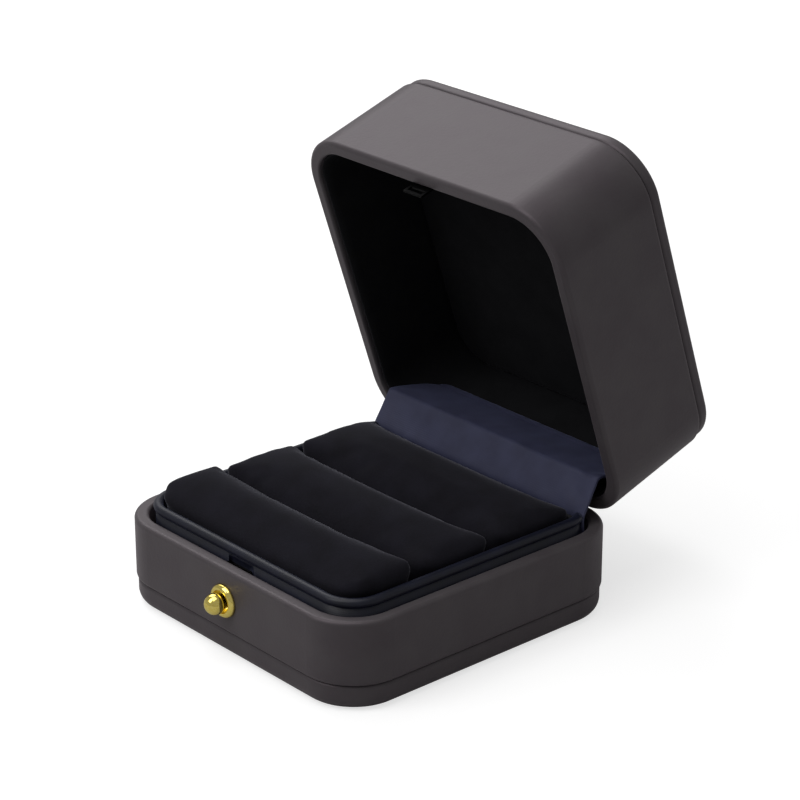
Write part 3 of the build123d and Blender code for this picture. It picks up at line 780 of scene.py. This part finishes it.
@dataclass
class CollarRoll:
    """The fabric-covered collar round three sides of the insert, with a rolled top edge."""

    plan: RoundedSquare
    step: float = 0.8 * MM
    card: float = 1.0 * MM           # thickness of the card inside it
    waist: float = 0.42 * MM         # how far the collar's sides stand back below its bead
    pocket: tuple[float, float, float] = (6.8 * MM, 3.3 * MM, 17.8 * MM)     # for the latch
    pocket_place: tuple[float, float, float] = (0.0, -32.45 * MM, 8.9 * MM)
    bead_sides: int = 28
    end_cover: float = 1.6 * MM      # cloth past the card of the arms, round to the rear card

    def path(self, inset: float, rear: float) -> list[Vector]:
        """Lays the collar's middle line from one rear end, round the front, to the other.

        Args:
            inset: From the outside of the box to the middle of the collar.
            rear: The Y at which its two side arms end.

        Returns:
            Points in the plane Z = 0.
        """
        walk = [place for place, _, _ in self.plan.inset(inset).walk(self.step)]
        kept = [p for p in walk if p.y <= rear]
        ends = [Vector((side * abs(kept[0].x), rear, 0)) for side in (-1, 1)]
        return [ends[0], *kept, ends[1]]

    def build(self) -> bpy.types.Object:
        """Sweeps the collar's section along its path, and returns the dressed piece."""
        low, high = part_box("collar_wrap")
        card_low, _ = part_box("collar_frame")
        thickness = 2 * (card_low.x - low.x) + self.card
        bead = thickness / 2
        inset = self.plan.half_x - abs(low.x) + bead
        curve = bpy.data.curves.new("collar_path", "CURVE")
        curve.dimensions = "3D"
        points = self.path(inset, high.y + self.end_cover)
        spline = curve.splines.new("POLY")
        spline.points.add(len(points) - 1)
        for target, point in zip(spline.points, points):
            target.co = (*point, 1.0)
        height = high.z - bead - low.z
        recipe = NodeRecipe("collar_sweep", {
            "Thickness": ("NodeSocketFloat", thickness - 2 * self.waist),
            "Height": ("NodeSocketFloat", height),
            "Middle": ("NodeSocketVector", (0.0, 0.0, low.z + height / 2)),
            "Bead": ("NodeSocketFloat", bead),
            "Crest": ("NodeSocketVector", (0.0, 0.0, high.z - bead)),
            "Pocket Size": ("NodeSocketVector", self.pocket),
            "Pocket Place": ("NodeSocketVector", self.pocket_place),
        })
        tree, given = recipe.tree, recipe.given
        upright = add_node(tree, "GeometryNodeSetCurveNormal", {"mode": "Z_UP"},
                           {"Curve": given("Geometry")})
        flat = add_node(tree, "GeometryNodeCurvePrimitiveQuadrilateral", None,
                        {"Width": given("Thickness"), "Height": given("Height")})
        circle = add_node(tree, "GeometryNodeCurvePrimitiveCircle", None,
                          {"Resolution": self.bead_sides, "Radius": given("Bead")})
        room = add_node(tree, "GeometryNodeMeshCube", None, {"Size": given("Pocket Size")})
        pocket = add_node(tree, "GeometryNodeTransform", None,
                          {"Geometry": room.outputs[0], "Translation": given("Pocket Place")})
        walls = self.sweep(tree, upright.outputs[0], flat.outputs[0], given("Middle"))
        notched = add_node(tree, "GeometryNodeMeshBoolean", {"operation": "DIFFERENCE"},
                           {"Mesh 1": walls, "Mesh 2": pocket.outputs[0]})
        crest = self.sweep(tree, upright.outputs[0], circle.outputs[0], given("Crest"))
        joined = add_node(tree, "GeometryNodeJoinGeometry")
        for part in (notched.outputs[0], crest):
            tree.links.new(part, joined.inputs[0])
        # The piping's darker navy is painted shade for the gap between the rim and the collar.
        mesh = recipe.build(joined.outputs[0], curve, SHADE_DARKENED_PIPING_SATIN)
        self.unwrap(mesh, points)
        return dress(new_object("collar_cloth", mesh), Slot.NAVY, "base", "collar_wrap",
                     finish=SHADE_DARKENED_PIPING_SATIN)

    def sweep(self, tree: bpy.types.NodeTree, path: Socket, section: Socket,
              place: Socket) -> Socket:
        """Sweeps a section along the collar's path, and lifts it to its height.

        Args:
            tree: The collar's tree.
            path: The path, in the plane Z = 0.
            section: The outline to sweep.
            place: How far it is lifted.

        Returns:
            The swept mesh.
        """
        swept = add_node(tree, "GeometryNodeCurveToMesh", None,
                         {"Curve": path, "Profile Curve": section, "Fill Caps": True})
        return add_node(tree, "GeometryNodeTransform", None,
                        {"Geometry": swept.outputs[0], "Translation": place}).outputs[0]

    def unwrap(self, mesh: bpy.types.Mesh, points: list[Vector]) -> None:
        """Lays the threads along the collar and up its sides.

        Args:
            mesh: The swept collar.
            points: Its path.
        """
        lengths = [0.0]
        for last, point in zip(points, points[1:]):
            lengths.append(lengths[-1] + (point - last).length)
        layer = mesh.uv_layers.new(name="weave")
        for loop in mesh.loops:
            place = mesh.vertices[loop.vertex_index].co
            flat = Vector((place.x, place.y, 0))
            nearest = min(range(len(points)), key=lambda i: (points[i] - flat).length_squared)
            across = (points[nearest] - flat).length
            outer = 1 if flat.length > points[nearest].length else -1
            layer.data[loop.index].uv = (lengths[nearest], place.z + outer * across)


# --- Hinge cover --------------------------------------------------------------------------------
@dataclass(frozen=True)
class Ripple:
    """One size of ripple in a cloth."""

    across: float
    along: float
    height: float
    seed: float

    def at(self, x: float, along: float) -> float:
        """Returns the ripple's height at one place of the cloth."""
        return self.height * noise.noise(Vector((x / self.across, along / self.along, self.seed)))


@dataclass
class HingeCover:
    """The folded fabric strip that hides the hinge, glued behind the pads and in the lid."""

    plan: RoundedSquare
    pose: LidPose
    rim_z: float
    foot_rise: float = 1.9 * MM      # where the cloth leaves its card, above the base's rim
    crease_rise: float = 8.5 * MM
    crease_front: float = 2.4 * MM   # the crease, in front of the hinge's axis
    edge_depth: float = 11.6 * MM    # the upper edge, inside the lid's rim plane
    wall: float = 2.9 * MM
    lining: float = 0.5 * MM
    gap: float = 0.3 * MM
    cloth: float = 0.5 * MM
    seam_gap: float = 0.4 * MM
    slow: Ripple = Ripple(9 * MM, 5 * MM, 0.22 * MM, 3.0)
    fine: Ripple = Ripple(3 * MM, 3 * MM, 0.088 * MM, 7.0)
    crumple: Ripple = Ripple(4 * MM, 3.5 * MM, 0.5 * MM, 11.0)    # where its right end is pinched
    pinch: tuple[float, float] = (20 * MM, 29 * MM)
    glued: float = 4 * MM            # the cloth lies flat at its tail and its edge
    hem: float = 1.5 * MM            # width of the turned-in upper edge
    hem_step: float = 0.22 * MM
    hem_slope: float = 0.3 * MM
    trim: float = 0.5 * MM           # how much shorter the upper edge is cut at each end
    row: float = 0.4 * MM
    columns: int = 150

    def section(self) -> list[tuple[float, float]]:
        """Returns the cloth's middle line across the hinge, as Y and Z, from tail to edge."""
        low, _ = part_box("hinge_cover")
        foot_y = low.y + self.cloth / 2
        crease = Vector((0, self.pose.y - self.crease_front, self.rim_z + self.crease_rise))
        rear = self.plan.half_y - self.wall - self.lining - self.gap - self.cloth / 2
        closed = Vector((0, rear, self.rim_z + self.seam_gap + self.edge_depth))
        edge = self.pose.opening() @ closed
        stops = [Vector((0, foot_y, low.z)), Vector((0, foot_y, self.rim_z + self.foot_rise)),
                 crease, edge]
        line: list[tuple[float, float]] = []
        for start, end in zip(stops, stops[1:]):
            pieces = max(2, round((end - start).length / self.row))
            line += [tuple(start.lerp(end, i / pieces).yz) for i in range(pieces)]
        line.append(tuple(edge.yz))
        for _ in range(2):
            middle = [tuple((a + 2 * b + c) / 4 for a, b, c in zip(*trio))
                      for trio in zip(line, line[1:], line[2:])]
            line = [line[0], *middle, line[-1]]
        return line

    def half_width(self, y: float, z: float) -> float:
        """How far the cloth reaches to each side at one place of its section."""
        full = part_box("hinge_cover")[1].x
        closed = self.pose.opening().inverted() @ Vector((0, y, z))
        if closed.z < self.rim_z + self.seam_gap:
            return full
        inner = self.plan.inset(self.wall + self.lining + self.gap)
        core_x, core_y = inner.half_x - inner.radius, inner.half_y - inner.radius
        into = min(max(closed.y - core_y, 0.0), inner.radius)
        return min(full, core_x + math.sqrt(inner.radius ** 2 - into ** 2))

    def stray(self, x: float, along: float, length: float) -> float:
        """How far the cloth lies off its taut section, towards the viewer, at one place.

        Args:
            x: The place across the box.
            along: The place along the cloth, from its tail.
            length: The cloth's length.

        Returns:
            The offset, with its ripples, its crumpled end and its hem.
        """
        free = ease(min(along, length - along), 0.0, self.glued)
        ripple = self.slow.at(x, along) + self.fine.at(x, along)
        ripple += self.crumple.at(x, along) * ease(x, *self.pinch)
        hem_start = length - self.hem
        hem = self.hem_step * ease(along, hem_start, hem_start + self.hem_slope)
        return ripple * free - hem

    def build(self) -> bpy.types.Object:
        """Builds the strip, bends it across the hinge, and returns the dressed piece."""
        line = self.section()
        along = [0.0]
        for (y0, z0), (y1, z1) in zip(line, line[1:]):
            along.append(along[-1] + math.hypot(y1 - y0, z1 - z0))
        builder = bmesh.new()
        uv = builder.loops.layers.uv.new("weave")
        sides: list[list[list[bmesh.types.BMVert]]] = []
        flat: dict[bmesh.types.BMVert, tuple[float, float]] = {}
        for side in (-0.5, 0.5):
            grid = []
            for i, (y, z) in enumerate(line):
                before, after = line[max(i - 1, 0)], line[min(i + 1, len(line) - 1)]
                tangent = Vector((0, after[0] - before[0], after[1] - before[1])).normalized()
                normal = Vector((0, tangent.z, -tangent.y))
                reach = self.half_width(y, z) - self.trim * ease(z, line[0][1], line[-1][1])
                row = []
                for j in range(self.columns + 1):
                    x = reach * (2 * j / self.columns - 1)
                    offset = side * self.cloth + self.stray(x, along[i], along[-1])
                    vertex = builder.verts.new(Vector((x, y, z)) + normal * offset)
                    flat[vertex] = (x, along[i])
                    row.append(vertex)
                grid.append(row)
            sides.append(grid)
        self.close(builder, sides)
        for face in builder.faces:
            for loop in face.loops:
                loop[uv].uv = flat[loop.vert]
        cover = new_object("hinge_cover_cloth", mesh_from(builder))
        foot = Vector((0, line[0][0], self.rim_z + self.foot_rise))
        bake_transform(cover, "base", "lid", start=foot, end=Vector((0, *line[-1])))
        return dress(cover, Slot.NAVY, "base", "hinge_cover")

    def close(self, builder: bmesh.types.BMesh,
              sides: list[list[list[bmesh.types.BMVert]]]) -> None:
        """Joins the cloth's two faces into one closed sheet.

        Args:
            builder: The bmesh that holds both grids.
            sides: The front grid and the back grid.
        """
        rows, columns = len(sides[0]), len(sides[0][0])
        for grid in sides:
            for i in range(rows - 1):
                for j in range(columns - 1):
                    builder.faces.new((grid[i][j], grid[i][j + 1],
                                       grid[i + 1][j + 1], grid[i + 1][j]))
        front, back = sides
        edge = [(i, 0) for i in range(rows)] + [(rows - 1, j) for j in range(1, columns)]
        edge += [(i, columns - 1) for i in range(rows - 2, -1, -1)]
        edge += [(0, j) for j in range(columns - 2, 0, -1)]
        for (a, b), (c, d) in zip(edge, edge[1:] + edge[:1]):
            builder.faces.new((front[a][b], front[c][d], back[c][d], back[a][b]))


# --- Lid lining ---------------------------------------------------------------------------------
@dataclass
class LidLining:
    """The black lining of the lid's walls, cut away for the hinge leaf and the latch."""

    plan: RoundedSquare
    pose: LidPose
    rim_z: float
    wall: float = 2.9 * MM
    thickness: float = 0.5 * MM
    seam_gap: float = 0.4 * MM
    start: float = 1.0 * MM          # from the lid's rim plane to the lining's edge
    leaf_room: float = 20.8 * MM     # half the length of the cut at the hinge
    leaf_height: float = 7.4 * MM
    latch_room: float = 2.8 * MM     # half the width of the notch for the keeper's tongue
    latch_height: float = 1.8 * MM   # the lining covers the rest of the keeper
    ceiling: float = 22.7 * MM       # from the rim plane to the lining's top
    sway: float = 0.06 * MM          # how uneven its face is
    sway_spread: float = 6 * MM
    step: float = 0.6 * MM
    rows: int = 12

    def lower_edge(self, x: float, y: float) -> float:
        """Returns the lining's lower edge above the lid's rim plane at one place."""
        if y > 0 and abs(x) < self.leaf_room:
            return self.leaf_height
        if y < 0 and abs(x) < self.latch_room:
            return self.latch_height
        return self.start

    def build(self) -> bpy.types.Object:
        """Builds the lining round the walls, and returns the dressed piece."""
        rim = self.rim_z + self.seam_gap
        outer = self.plan.inset(self.wall)
        walk = outer.walk(self.step)[:-1]
        builder = bmesh.new()
        turn = self.pose.opening()
        columns: list[list[bmesh.types.BMVert]] = []
        for place, normal, length in walk:
            low = self.lower_edge(place.x, place.y)
            heights = [low + (self.ceiling - low) * i / self.rows for i in range(self.rows + 1)]
            ring = []
            for inward in (0.0, self.thickness):
                ordered = heights if inward else heights[::-1]
                for height in ordered:
                    sway = self.sway * noise.noise(Vector((length, height, 0)) / self.sway_spread)
                    shift = inward + (sway if inward else 0.0)
                    point = place - normal * shift + Vector((0, 0, rim + height))
                    ring.append(builder.verts.new(turn @ point))
            columns.append(ring)
        for one, two in zip(columns, columns[1:] + columns[:1]):
            for i in range(len(one)):
                j = (i + 1) % len(one)
                builder.faces.new((one[i], one[j], two[j], two[i]))
        lining = new_object("lid_lining", mesh_from(builder))
        return dress(lining, Slot.VELVET, "lid", "lid_wall_lining", finish=LID_FLOCK)


@dataclass
class CeilingCushion:
    """The thin, slightly crowned cushion that fills the lid's ceiling."""

    plan: RoundedSquare
    pose: LidPose
    rim_z: float
    inset: float = 3.8 * MM          # wall, lining and clearance
    ceiling: float = 23.1 * MM       # from the base's rim to the lid's ceiling
    thickness: float = 1.6 * MM
    edge_round: float = 0.8 * MM
    crown: float = 0.4 * MM          # how much thinner it is at its edge than in its middle
    crown_reach: float = 14 * MM     # from its edge to where it is at its thickest
    turn_in: float = 0.3 * MM        # from its edge to where its cover is glued to the ceiling
    sag: float = 0.1 * MM
    sag_spread: float = 12 * MM
    step: float = 0.9 * MM
    edge_rings: int = 6
    corner_rings: int = 7
    shares: tuple[float, ...] = (0.8, 0.6, 0.4, 0.2)    # of the way out, its inner rings
    fill: float = 0.5

    def drop(self, inward: float) -> float:
        """Returns how far the cushion's face hangs below the ceiling, from its edge inwards."""
        edge = min(inward / self.edge_round, 1.0)
        curve = math.sqrt(1 - (1 - edge) ** 2)
        return (self.thickness - self.edge_round * (1 - curve)
                + self.crown * (ease(inward, self.edge_round, self.crown_reach) - 1.0))

    def build(self) -> bpy.types.Object:
        """Builds the cushion ring by ring, and returns the dressed piece."""
        outline = self.plan.inset(self.inset)
        walk = outline.walk(self.step)[:-1]
        top = self.rim_z + self.ceiling
        turn = self.pose.opening()
        builder = bmesh.new()
        near = [self.edge_round * i / self.edge_rings for i in range(self.edge_rings + 1)]
        near += [outline.radius * i / self.corner_rings for i in range(1, self.corner_rings)]
        rings = [[(place - normal * self.turn_in, 0.0) for place, normal, _ in walk]]
        rings += [[(place - normal * d, self.drop(d)) for place, normal, _ in walk]
                  for d in sorted(near)]
        last = near[-1]
        for share in self.shares:
            deep = last + (outline.half_x - last) * (1 - share)
            rings.append([((place - normal * last) * share, self.drop(deep))
                          for place, normal, _ in walk])
        rows = []
        for ring in rings:
            sag = [self.sag * noise.noise(place / self.sag_spread)
                   * min(1.0, drop / self.thickness) for place, drop in ring]
            rows.append([builder.verts.new(turn @ Vector((place.x, place.y, top - drop - s)))
                         for (place, drop), s in zip(ring, sag)])
        for one, two in zip(rows, rows[1:]):
            for i in range(len(one)):
                j = (i + 1) % len(one)
                builder.faces.new((one[i], one[j], two[j], two[i]))
        middle = builder.verts.new(turn @ Vector((0, 0, top - self.drop(outline.half_x))))
        back = builder.verts.new(turn @ Vector((0, 0, top)))
        for row, pole in ((rows[-1], middle), (rows[0], back)):
            for i in range(len(row)):
                builder.faces.new((row[i], row[(i + 1) % len(row)], pole))
        cushion = new_object("lid_ceiling_cushion", mesh_from(builder))
        return dress(cushion, Slot.VELVET, "lid", "lid_ceiling_pad", finish=LID_FLOCK)


# --- Button and latch ---------------------------------------------------------------------------
@dataclass
class PushButton:
    """The gilt ball button, its domed escutcheon and its return spring."""

    neck_radius: float = 1.5 * MM
    neck_length: float = 0.2 * MM
    stem_radius: float = 0.9 * MM
    stem_bore: float = 1.05 * MM
    spring_bore: float = 1.6 * MM
    clearance: float = 0.2 * MM
    lip: float = 0.2 * MM
    cup_depth: float = 2.3 * MM
    flange_proud: float = 1.1 * MM
    sleeve_radius: float = 2.8 * MM
    seat_wall: float = 0.5 * MM
    wire: float = 0.25 * MM
    coils: float = 4.0
    sides: int = 96

    def __post_init__(self) -> None:
        """Reads the button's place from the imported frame."""
        low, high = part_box("button_knob")
        self.radius = (high.z - low.z) / 2
        self.z = (high.z + low.z) / 2
        self.ball_y = low.y + self.radius
        self.stem_end = high.y

    def knob(self) -> bpy.types.Object:
        """Turns the ball, neck and stem, and returns the dressed button."""
        meet = math.degrees(math.asin(self.neck_radius / self.radius))
        ball = arc((0.0, self.ball_y), self.radius, -90, 90 - meet, 40)
        neck_y = self.ball_y + self.radius + self.neck_length
        profile = [(0.0, ball[0][1]), *ball[1:], (self.neck_radius, neck_y),
                   (self.stem_radius, neck_y), (self.stem_radius, self.stem_end - 0.1 * MM),
                   (self.stem_radius - 0.1 * MM, self.stem_end), (0.0, self.stem_end)]
        knob = new_object("ball_button", lathe(profile, self.z, self.sides))
        return dress(knob, Slot.GILT, "button", "button_knob")

    def escutcheon(self) -> bpy.types.Object:
        """Turns the domed flange and its sleeve, and returns the dressed piece."""
        low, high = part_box("escutcheon")
        radius = (high.z - low.z) / 2 - 0.02 * MM
        face, back = low.y, high.y
        wall = face + self.flange_proud
        mouth = self.radius + self.clearance
        cup = face + self.cup_depth
        dome = [(radius - (radius - mouth - self.lip) * (1 - math.cos(a)) ** 0.9,
                 wall - self.lip - (self.flange_proud - self.lip) * math.sin(a))
                for a in (math.pi / 2 * i / 16 for i in range(17))]
        lip = arc((mouth + self.lip / 2, face + self.lip / 2), self.lip / 2, -90, -180, 4)
        profile = [(radius, wall), *dome, *lip, (mouth, cup), (self.spring_bore, cup),
                   (self.spring_bore, back - self.seat_wall),
                   (self.stem_bore, back - self.seat_wall), (self.stem_bore, back),
                   (self.sleeve_radius, back), (self.sleeve_radius, wall)]
        ring = new_object("button_escutcheon", lathe(profile, self.z, self.sides))
        return dress(ring, Slot.GILT, "base", "escutcheon")

    def spring(self) -> bpy.types.Object:
        """Winds the return spring in its bore, and returns the dressed piece."""
        low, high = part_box("button_spring")
        recipe = NodeRecipe("coil_spring", {
            "Coils": ("NodeSocketFloat", self.coils),
            "Radius": ("NodeSocketFloat", (high.x - low.x - self.wire) / 2),
            "Length": ("NodeSocketFloat", high.y - low.y - self.wire),
            "Wire": ("NodeSocketFloat", self.wire / 2),
            "Start": ("NodeSocketVector", (0.0, high.y - self.wire / 2, self.z)),
        })
        tree, given = recipe.tree, recipe.given
        line = add_node(tree, "GeometryNodeCurveSpiral", None,
                        {"Resolution": 28, "Rotations": given("Coils"),
                         "Start Radius": given("Radius"), "End Radius": given("Radius"),
                         "Height": given("Length")})
        section = add_node(tree, "GeometryNodeCurvePrimitiveCircle", None,
                           {"Resolution": 10, "Radius": given("Wire")})
        wound = add_node(tree, "GeometryNodeCurveToMesh", None,
                         {"Curve": line.outputs[0], "Profile Curve": section.outputs[0],
                          "Fill Caps": True})
        laid = add_node(tree, "GeometryNodeTransform", None,
                        {"Geometry": wound.outputs[0], "Translation": given("Start"),
                         "Rotation": (math.pi / 2, 0.0, 0.0)})
        mesh = recipe.build(laid.outputs[0], empty_mesh(), Slot.BRIGHT_STEEL.finish)
        spring = new_object("button_return_spring", mesh)
        dress(spring, Slot.BRIGHT_STEEL, "base", "button_spring")
        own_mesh(spring)
        return spring


@dataclass
class HingeRivets:
    """One leaf's rivets: domed heads in a row, each on its shank."""

    node: str
    body: str
    head_radius: float = 1.2 * MM
    head_height: float = 0.35 * MM
    shank_radius: float = 0.6 * MM
    shank_length: float = 2.1 * MM
    spacing: float = 15.0 * MM
    count: int = 3
    turn: Matrix = field(default_factory=Matrix)

    def build(self) -> bpy.types.Object:
        """Sets the row of rivets in its leaf, and returns the dressed piece."""
        closed = self.turn.inverted()
        node = bpy.data.objects[self.node]
        corners = [closed @ v.co for v in node.data.vertices]
        front = min(c.y for c in corners)
        middle = (min(c.z for c in corners) + max(c.z for c in corners)) / 2
        start = (-self.spacing * (self.count - 1) / 2, front + self.head_height, middle)
        recipe = NodeRecipe(self.node + "_row", {
            "Count": ("NodeSocketInt", self.count),
            "Spacing": ("NodeSocketVector", (self.spacing, 0.0, 0.0)),
            "Start": ("NodeSocketVector", start),
            "Head Radius": ("NodeSocketFloat", self.head_radius),
            "Flatness": ("NodeSocketVector", (1.0, 1.0, self.head_height / self.head_radius)),
            "Shank Radius": ("NodeSocketFloat", self.shank_radius),
            "Shank Length": ("NodeSocketFloat", self.shank_length),
            "Shank Middle": ("NodeSocketVector", (0.0, 0.0, -self.shank_length / 2)),
        })
        tree, given = recipe.tree, recipe.given
        row = add_node(tree, "GeometryNodeMeshLine", {"mode": "OFFSET"},
                       {"Count": given("Count"), "Start Location": given("Start"),
                        "Offset": given("Spacing")})
        ball = add_node(tree, "GeometryNodeMeshUVSphere", None,
                        {"Segments": 40, "Rings": 20, "Radius": given("Head Radius")})
        dome = add_node(tree, "GeometryNodeTransform", None,
                        {"Geometry": ball.outputs[0], "Scale": given("Flatness")})
        rod = add_node(tree, "GeometryNodeMeshCylinder", None,
                       {"Vertices": 32, "Radius": given("Shank Radius"),
                        "Depth": given("Shank Length")})
        shank = add_node(tree, "GeometryNodeTransform", None,
                         {"Geometry": rod.outputs[0], "Translation": given("Shank Middle")})
        joined = add_node(tree, "GeometryNodeJoinGeometry")
        for part in (dome, shank):
            tree.links.new(part.outputs[0], joined.inputs[0])
        placed = add_node(tree, "GeometryNodeInstanceOnPoints", None,
                          {"Points": row.outputs[0], "Instance": joined.outputs[0],
                           "Rotation": (math.pi / 2, 0.0, 0.0)})
        mesh = recipe.build(placed.outputs[0], empty_mesh(), Slot.BRIGHT_STEEL.finish)
        mesh.transform(self.turn)
        return dress(new_object(self.node + "_domed", mesh), Slot.BRIGHT_STEEL, self.body,
                     self.node)


# --- Studio -------------------------------------------------------------------------------------
@dataclass(frozen=True)
class SoftBox:
    """A square softbox: its name, where it hangs, the length of its side, and its power."""

    name: str
    place: tuple[float, float, float]
    side: float
    watts: float


@dataclass
class Studio:
    """A pale floor, soft lamps, and the camera where the photographer stood."""

    target: tuple[float, float, float] = (0.32 * MM, 8.10 * MM, 41.03 * MM)
    azimuth: float = 48.706
    elevation: float = 22.661
    distance: float = 544.54 * MM
    lens: float = 125.6
    floor_half: float = 6.0
    floor_colour: str = "#c0c0c0"
    lift: float = 0.68               # what the camera sees on the floor besides its own light
    sky: float = 0.28
    mirrored_sky: float = 0.42       # what glossy surfaces see instead
    softboxes: tuple[SoftBox, ...] = (
        SoftBox("key_softbox", (-0.95, 0.3, 1.0), 0.9, 5.5),
        SoftBox("top_softbox", (0.0, -0.3, 1.2), 0.9, 5.0),
        SoftBox("front_softbox", (-0.3, -0.95, 0.95), 0.7, 4.5),
    )

    def back(self) -> Vector:
        """Returns the direction from the target to the camera."""
        a, e = math.radians(self.azimuth), math.radians(self.elevation)
        return Vector((math.sin(a) * math.cos(e), -math.cos(a) * math.cos(e), math.sin(e)))

    def camera(self) -> None:
        """Places the camera."""
        data = bpy.data.cameras.new("camera")
        data.lens, data.sensor_width = self.lens, 36.0
        data.clip_start, data.clip_end = 0.01, 50.0
        made = bpy.data.objects.new("camera", data)
        made.location = Vector(self.target) + self.back() * self.distance
        made.rotation_mode = "QUATERNION"
        made.rotation_quaternion = (-self.back()).to_track_quat("-Z", "Y")
        bpy.context.scene.collection.objects.link(made)
        bpy.context.scene.camera = made

    def floor(self) -> None:
        """Lays the floor, white to the camera except where the box shades it."""
        builder = bmesh.new()
        h = self.floor_half
        corners = [(-h, -h, 0), (h, -h, 0), (h, h, 0), (-h, h, 0)]
        builder.faces.new([builder.verts.new(c) for c in corners])
        floor = new_object("studio_floor", mesh_from(builder))
        paper = bpy.data.materials.new("seamless_paper")
        paper.use_nodes = True
        tree = paper.node_tree
        tree.nodes.clear()
        seen = add_node(tree, "ShaderNodeLightPath").outputs["Is Camera Ray"]
        glow = add_node(tree, "ShaderNodeMath", {"operation": "MULTIPLY"},
                        {0: seen, 1: self.lift})
        matt = add_node(tree, "ShaderNodeBsdfDiffuse", None, {"Color": srgb(self.floor_colour)})
        light = add_node(tree, "ShaderNodeEmission", None, {"Strength": glow.outputs[0]})
        both = add_node(tree, "ShaderNodeAddShader", None,
                        {0: matt.outputs[0], 1: light.outputs[0]})
        add_node(tree, "ShaderNodeOutputMaterial", None, {"Surface": both.outputs[0]})
        floor.data.materials.append(paper)

    def lamp(self, box: SoftBox) -> None:
        """Hangs a softbox so that it faces the target."""
        data = bpy.data.lights.new(box.name, "AREA")
        data.shape, data.size, data.energy = "SQUARE", box.side, box.watts
        made = bpy.data.objects.new(box.name, data)
        made.location = box.place
        made.rotation_mode = "QUATERNION"
        facing = Vector(self.target) - Vector(box.place)
        made.rotation_quaternion = facing.to_track_quat("-Z", "Y")
        bpy.context.scene.collection.objects.link(made)

    def build(self) -> None:
        """Builds the whole studio."""
        self.camera()
        self.floor()
        for box in self.softboxes:
            self.lamp(box)
        world = bpy.data.worlds.new("studio")
        bpy.context.scene.world = world
        world.use_nodes = True
        world.node_tree.nodes.clear()
        seen = add_node(world.node_tree, "ShaderNodeLightPath")
        mirrored = add_node(world.node_tree, "ShaderNodeMapRange", None,
                            {"Value": seen.outputs["Is Glossy Ray"], "To Min": self.sky,
                             "To Max": self.mirrored_sky})
        level = add_node(world.node_tree, "ShaderNodeMapRange", None,
                         {"Value": seen.outputs["Is Camera Ray"],
                          "To Min": mirrored.outputs["Result"]})
        sky = add_node(world.node_tree, "ShaderNodeBackground", None,
                       {"Strength": level.outputs["Result"]})
        add_node(world.node_tree, "ShaderNodeOutputWorld", None, {"Surface": sky.outputs[0]})
        bpy.context.scene.view_settings.view_transform = "Standard"


def main() -> None:
    logging.basicConfig(level=logging.INFO, format="%(name)s: %(message)s")
    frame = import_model()
    Studio().build()
    CarriedNodes(frame).dress()

    low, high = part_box("base_wrap")
    plan = RoundedSquare(high.x, high.y, 11.5 * MM)
    hinge = next(j for j in frame["joints"] if j["name"] == "lid_hinge")
    _, axis_y, axis_z = hinge["pos_m"]
    pose = LidPose(axis_y, axis_z, math.radians(hinge["range_deg"][1]))

    lap = 1.0 * MM
    fill = 0.5 * MM
    pads = (VelvetPad(frame, "front_pad", "base", over_front=lap, fill_rear=fill),
            VelvetPad(frame, "middle_pad", "base", fill_front=fill, fill_rear=fill),
            VelvetPad(frame, "rear_pad", "base", over_rear=lap, fill_front=fill))
    for pad in pads:
        pad.over_ends = lap
        pad.build(pad.node.replace("pad", "velvet_pad"))
    CeilingCushion(plan, pose, high.z).build()
    CollarRoll(plan).build()
    LidLining(plan, pose, high.z).build()
    HingeCover(plan, pose, high.z).build()
    button = PushButton()
    button.knob()
    button.escutcheon()
    button.spring()
    HingeRivets("hinge_base_rivets", "base").build()
    HingeRivets("hinge_lid_rivets", "lid", turn=pose.opening()).build()


if __name__ == "__main__":
    main()
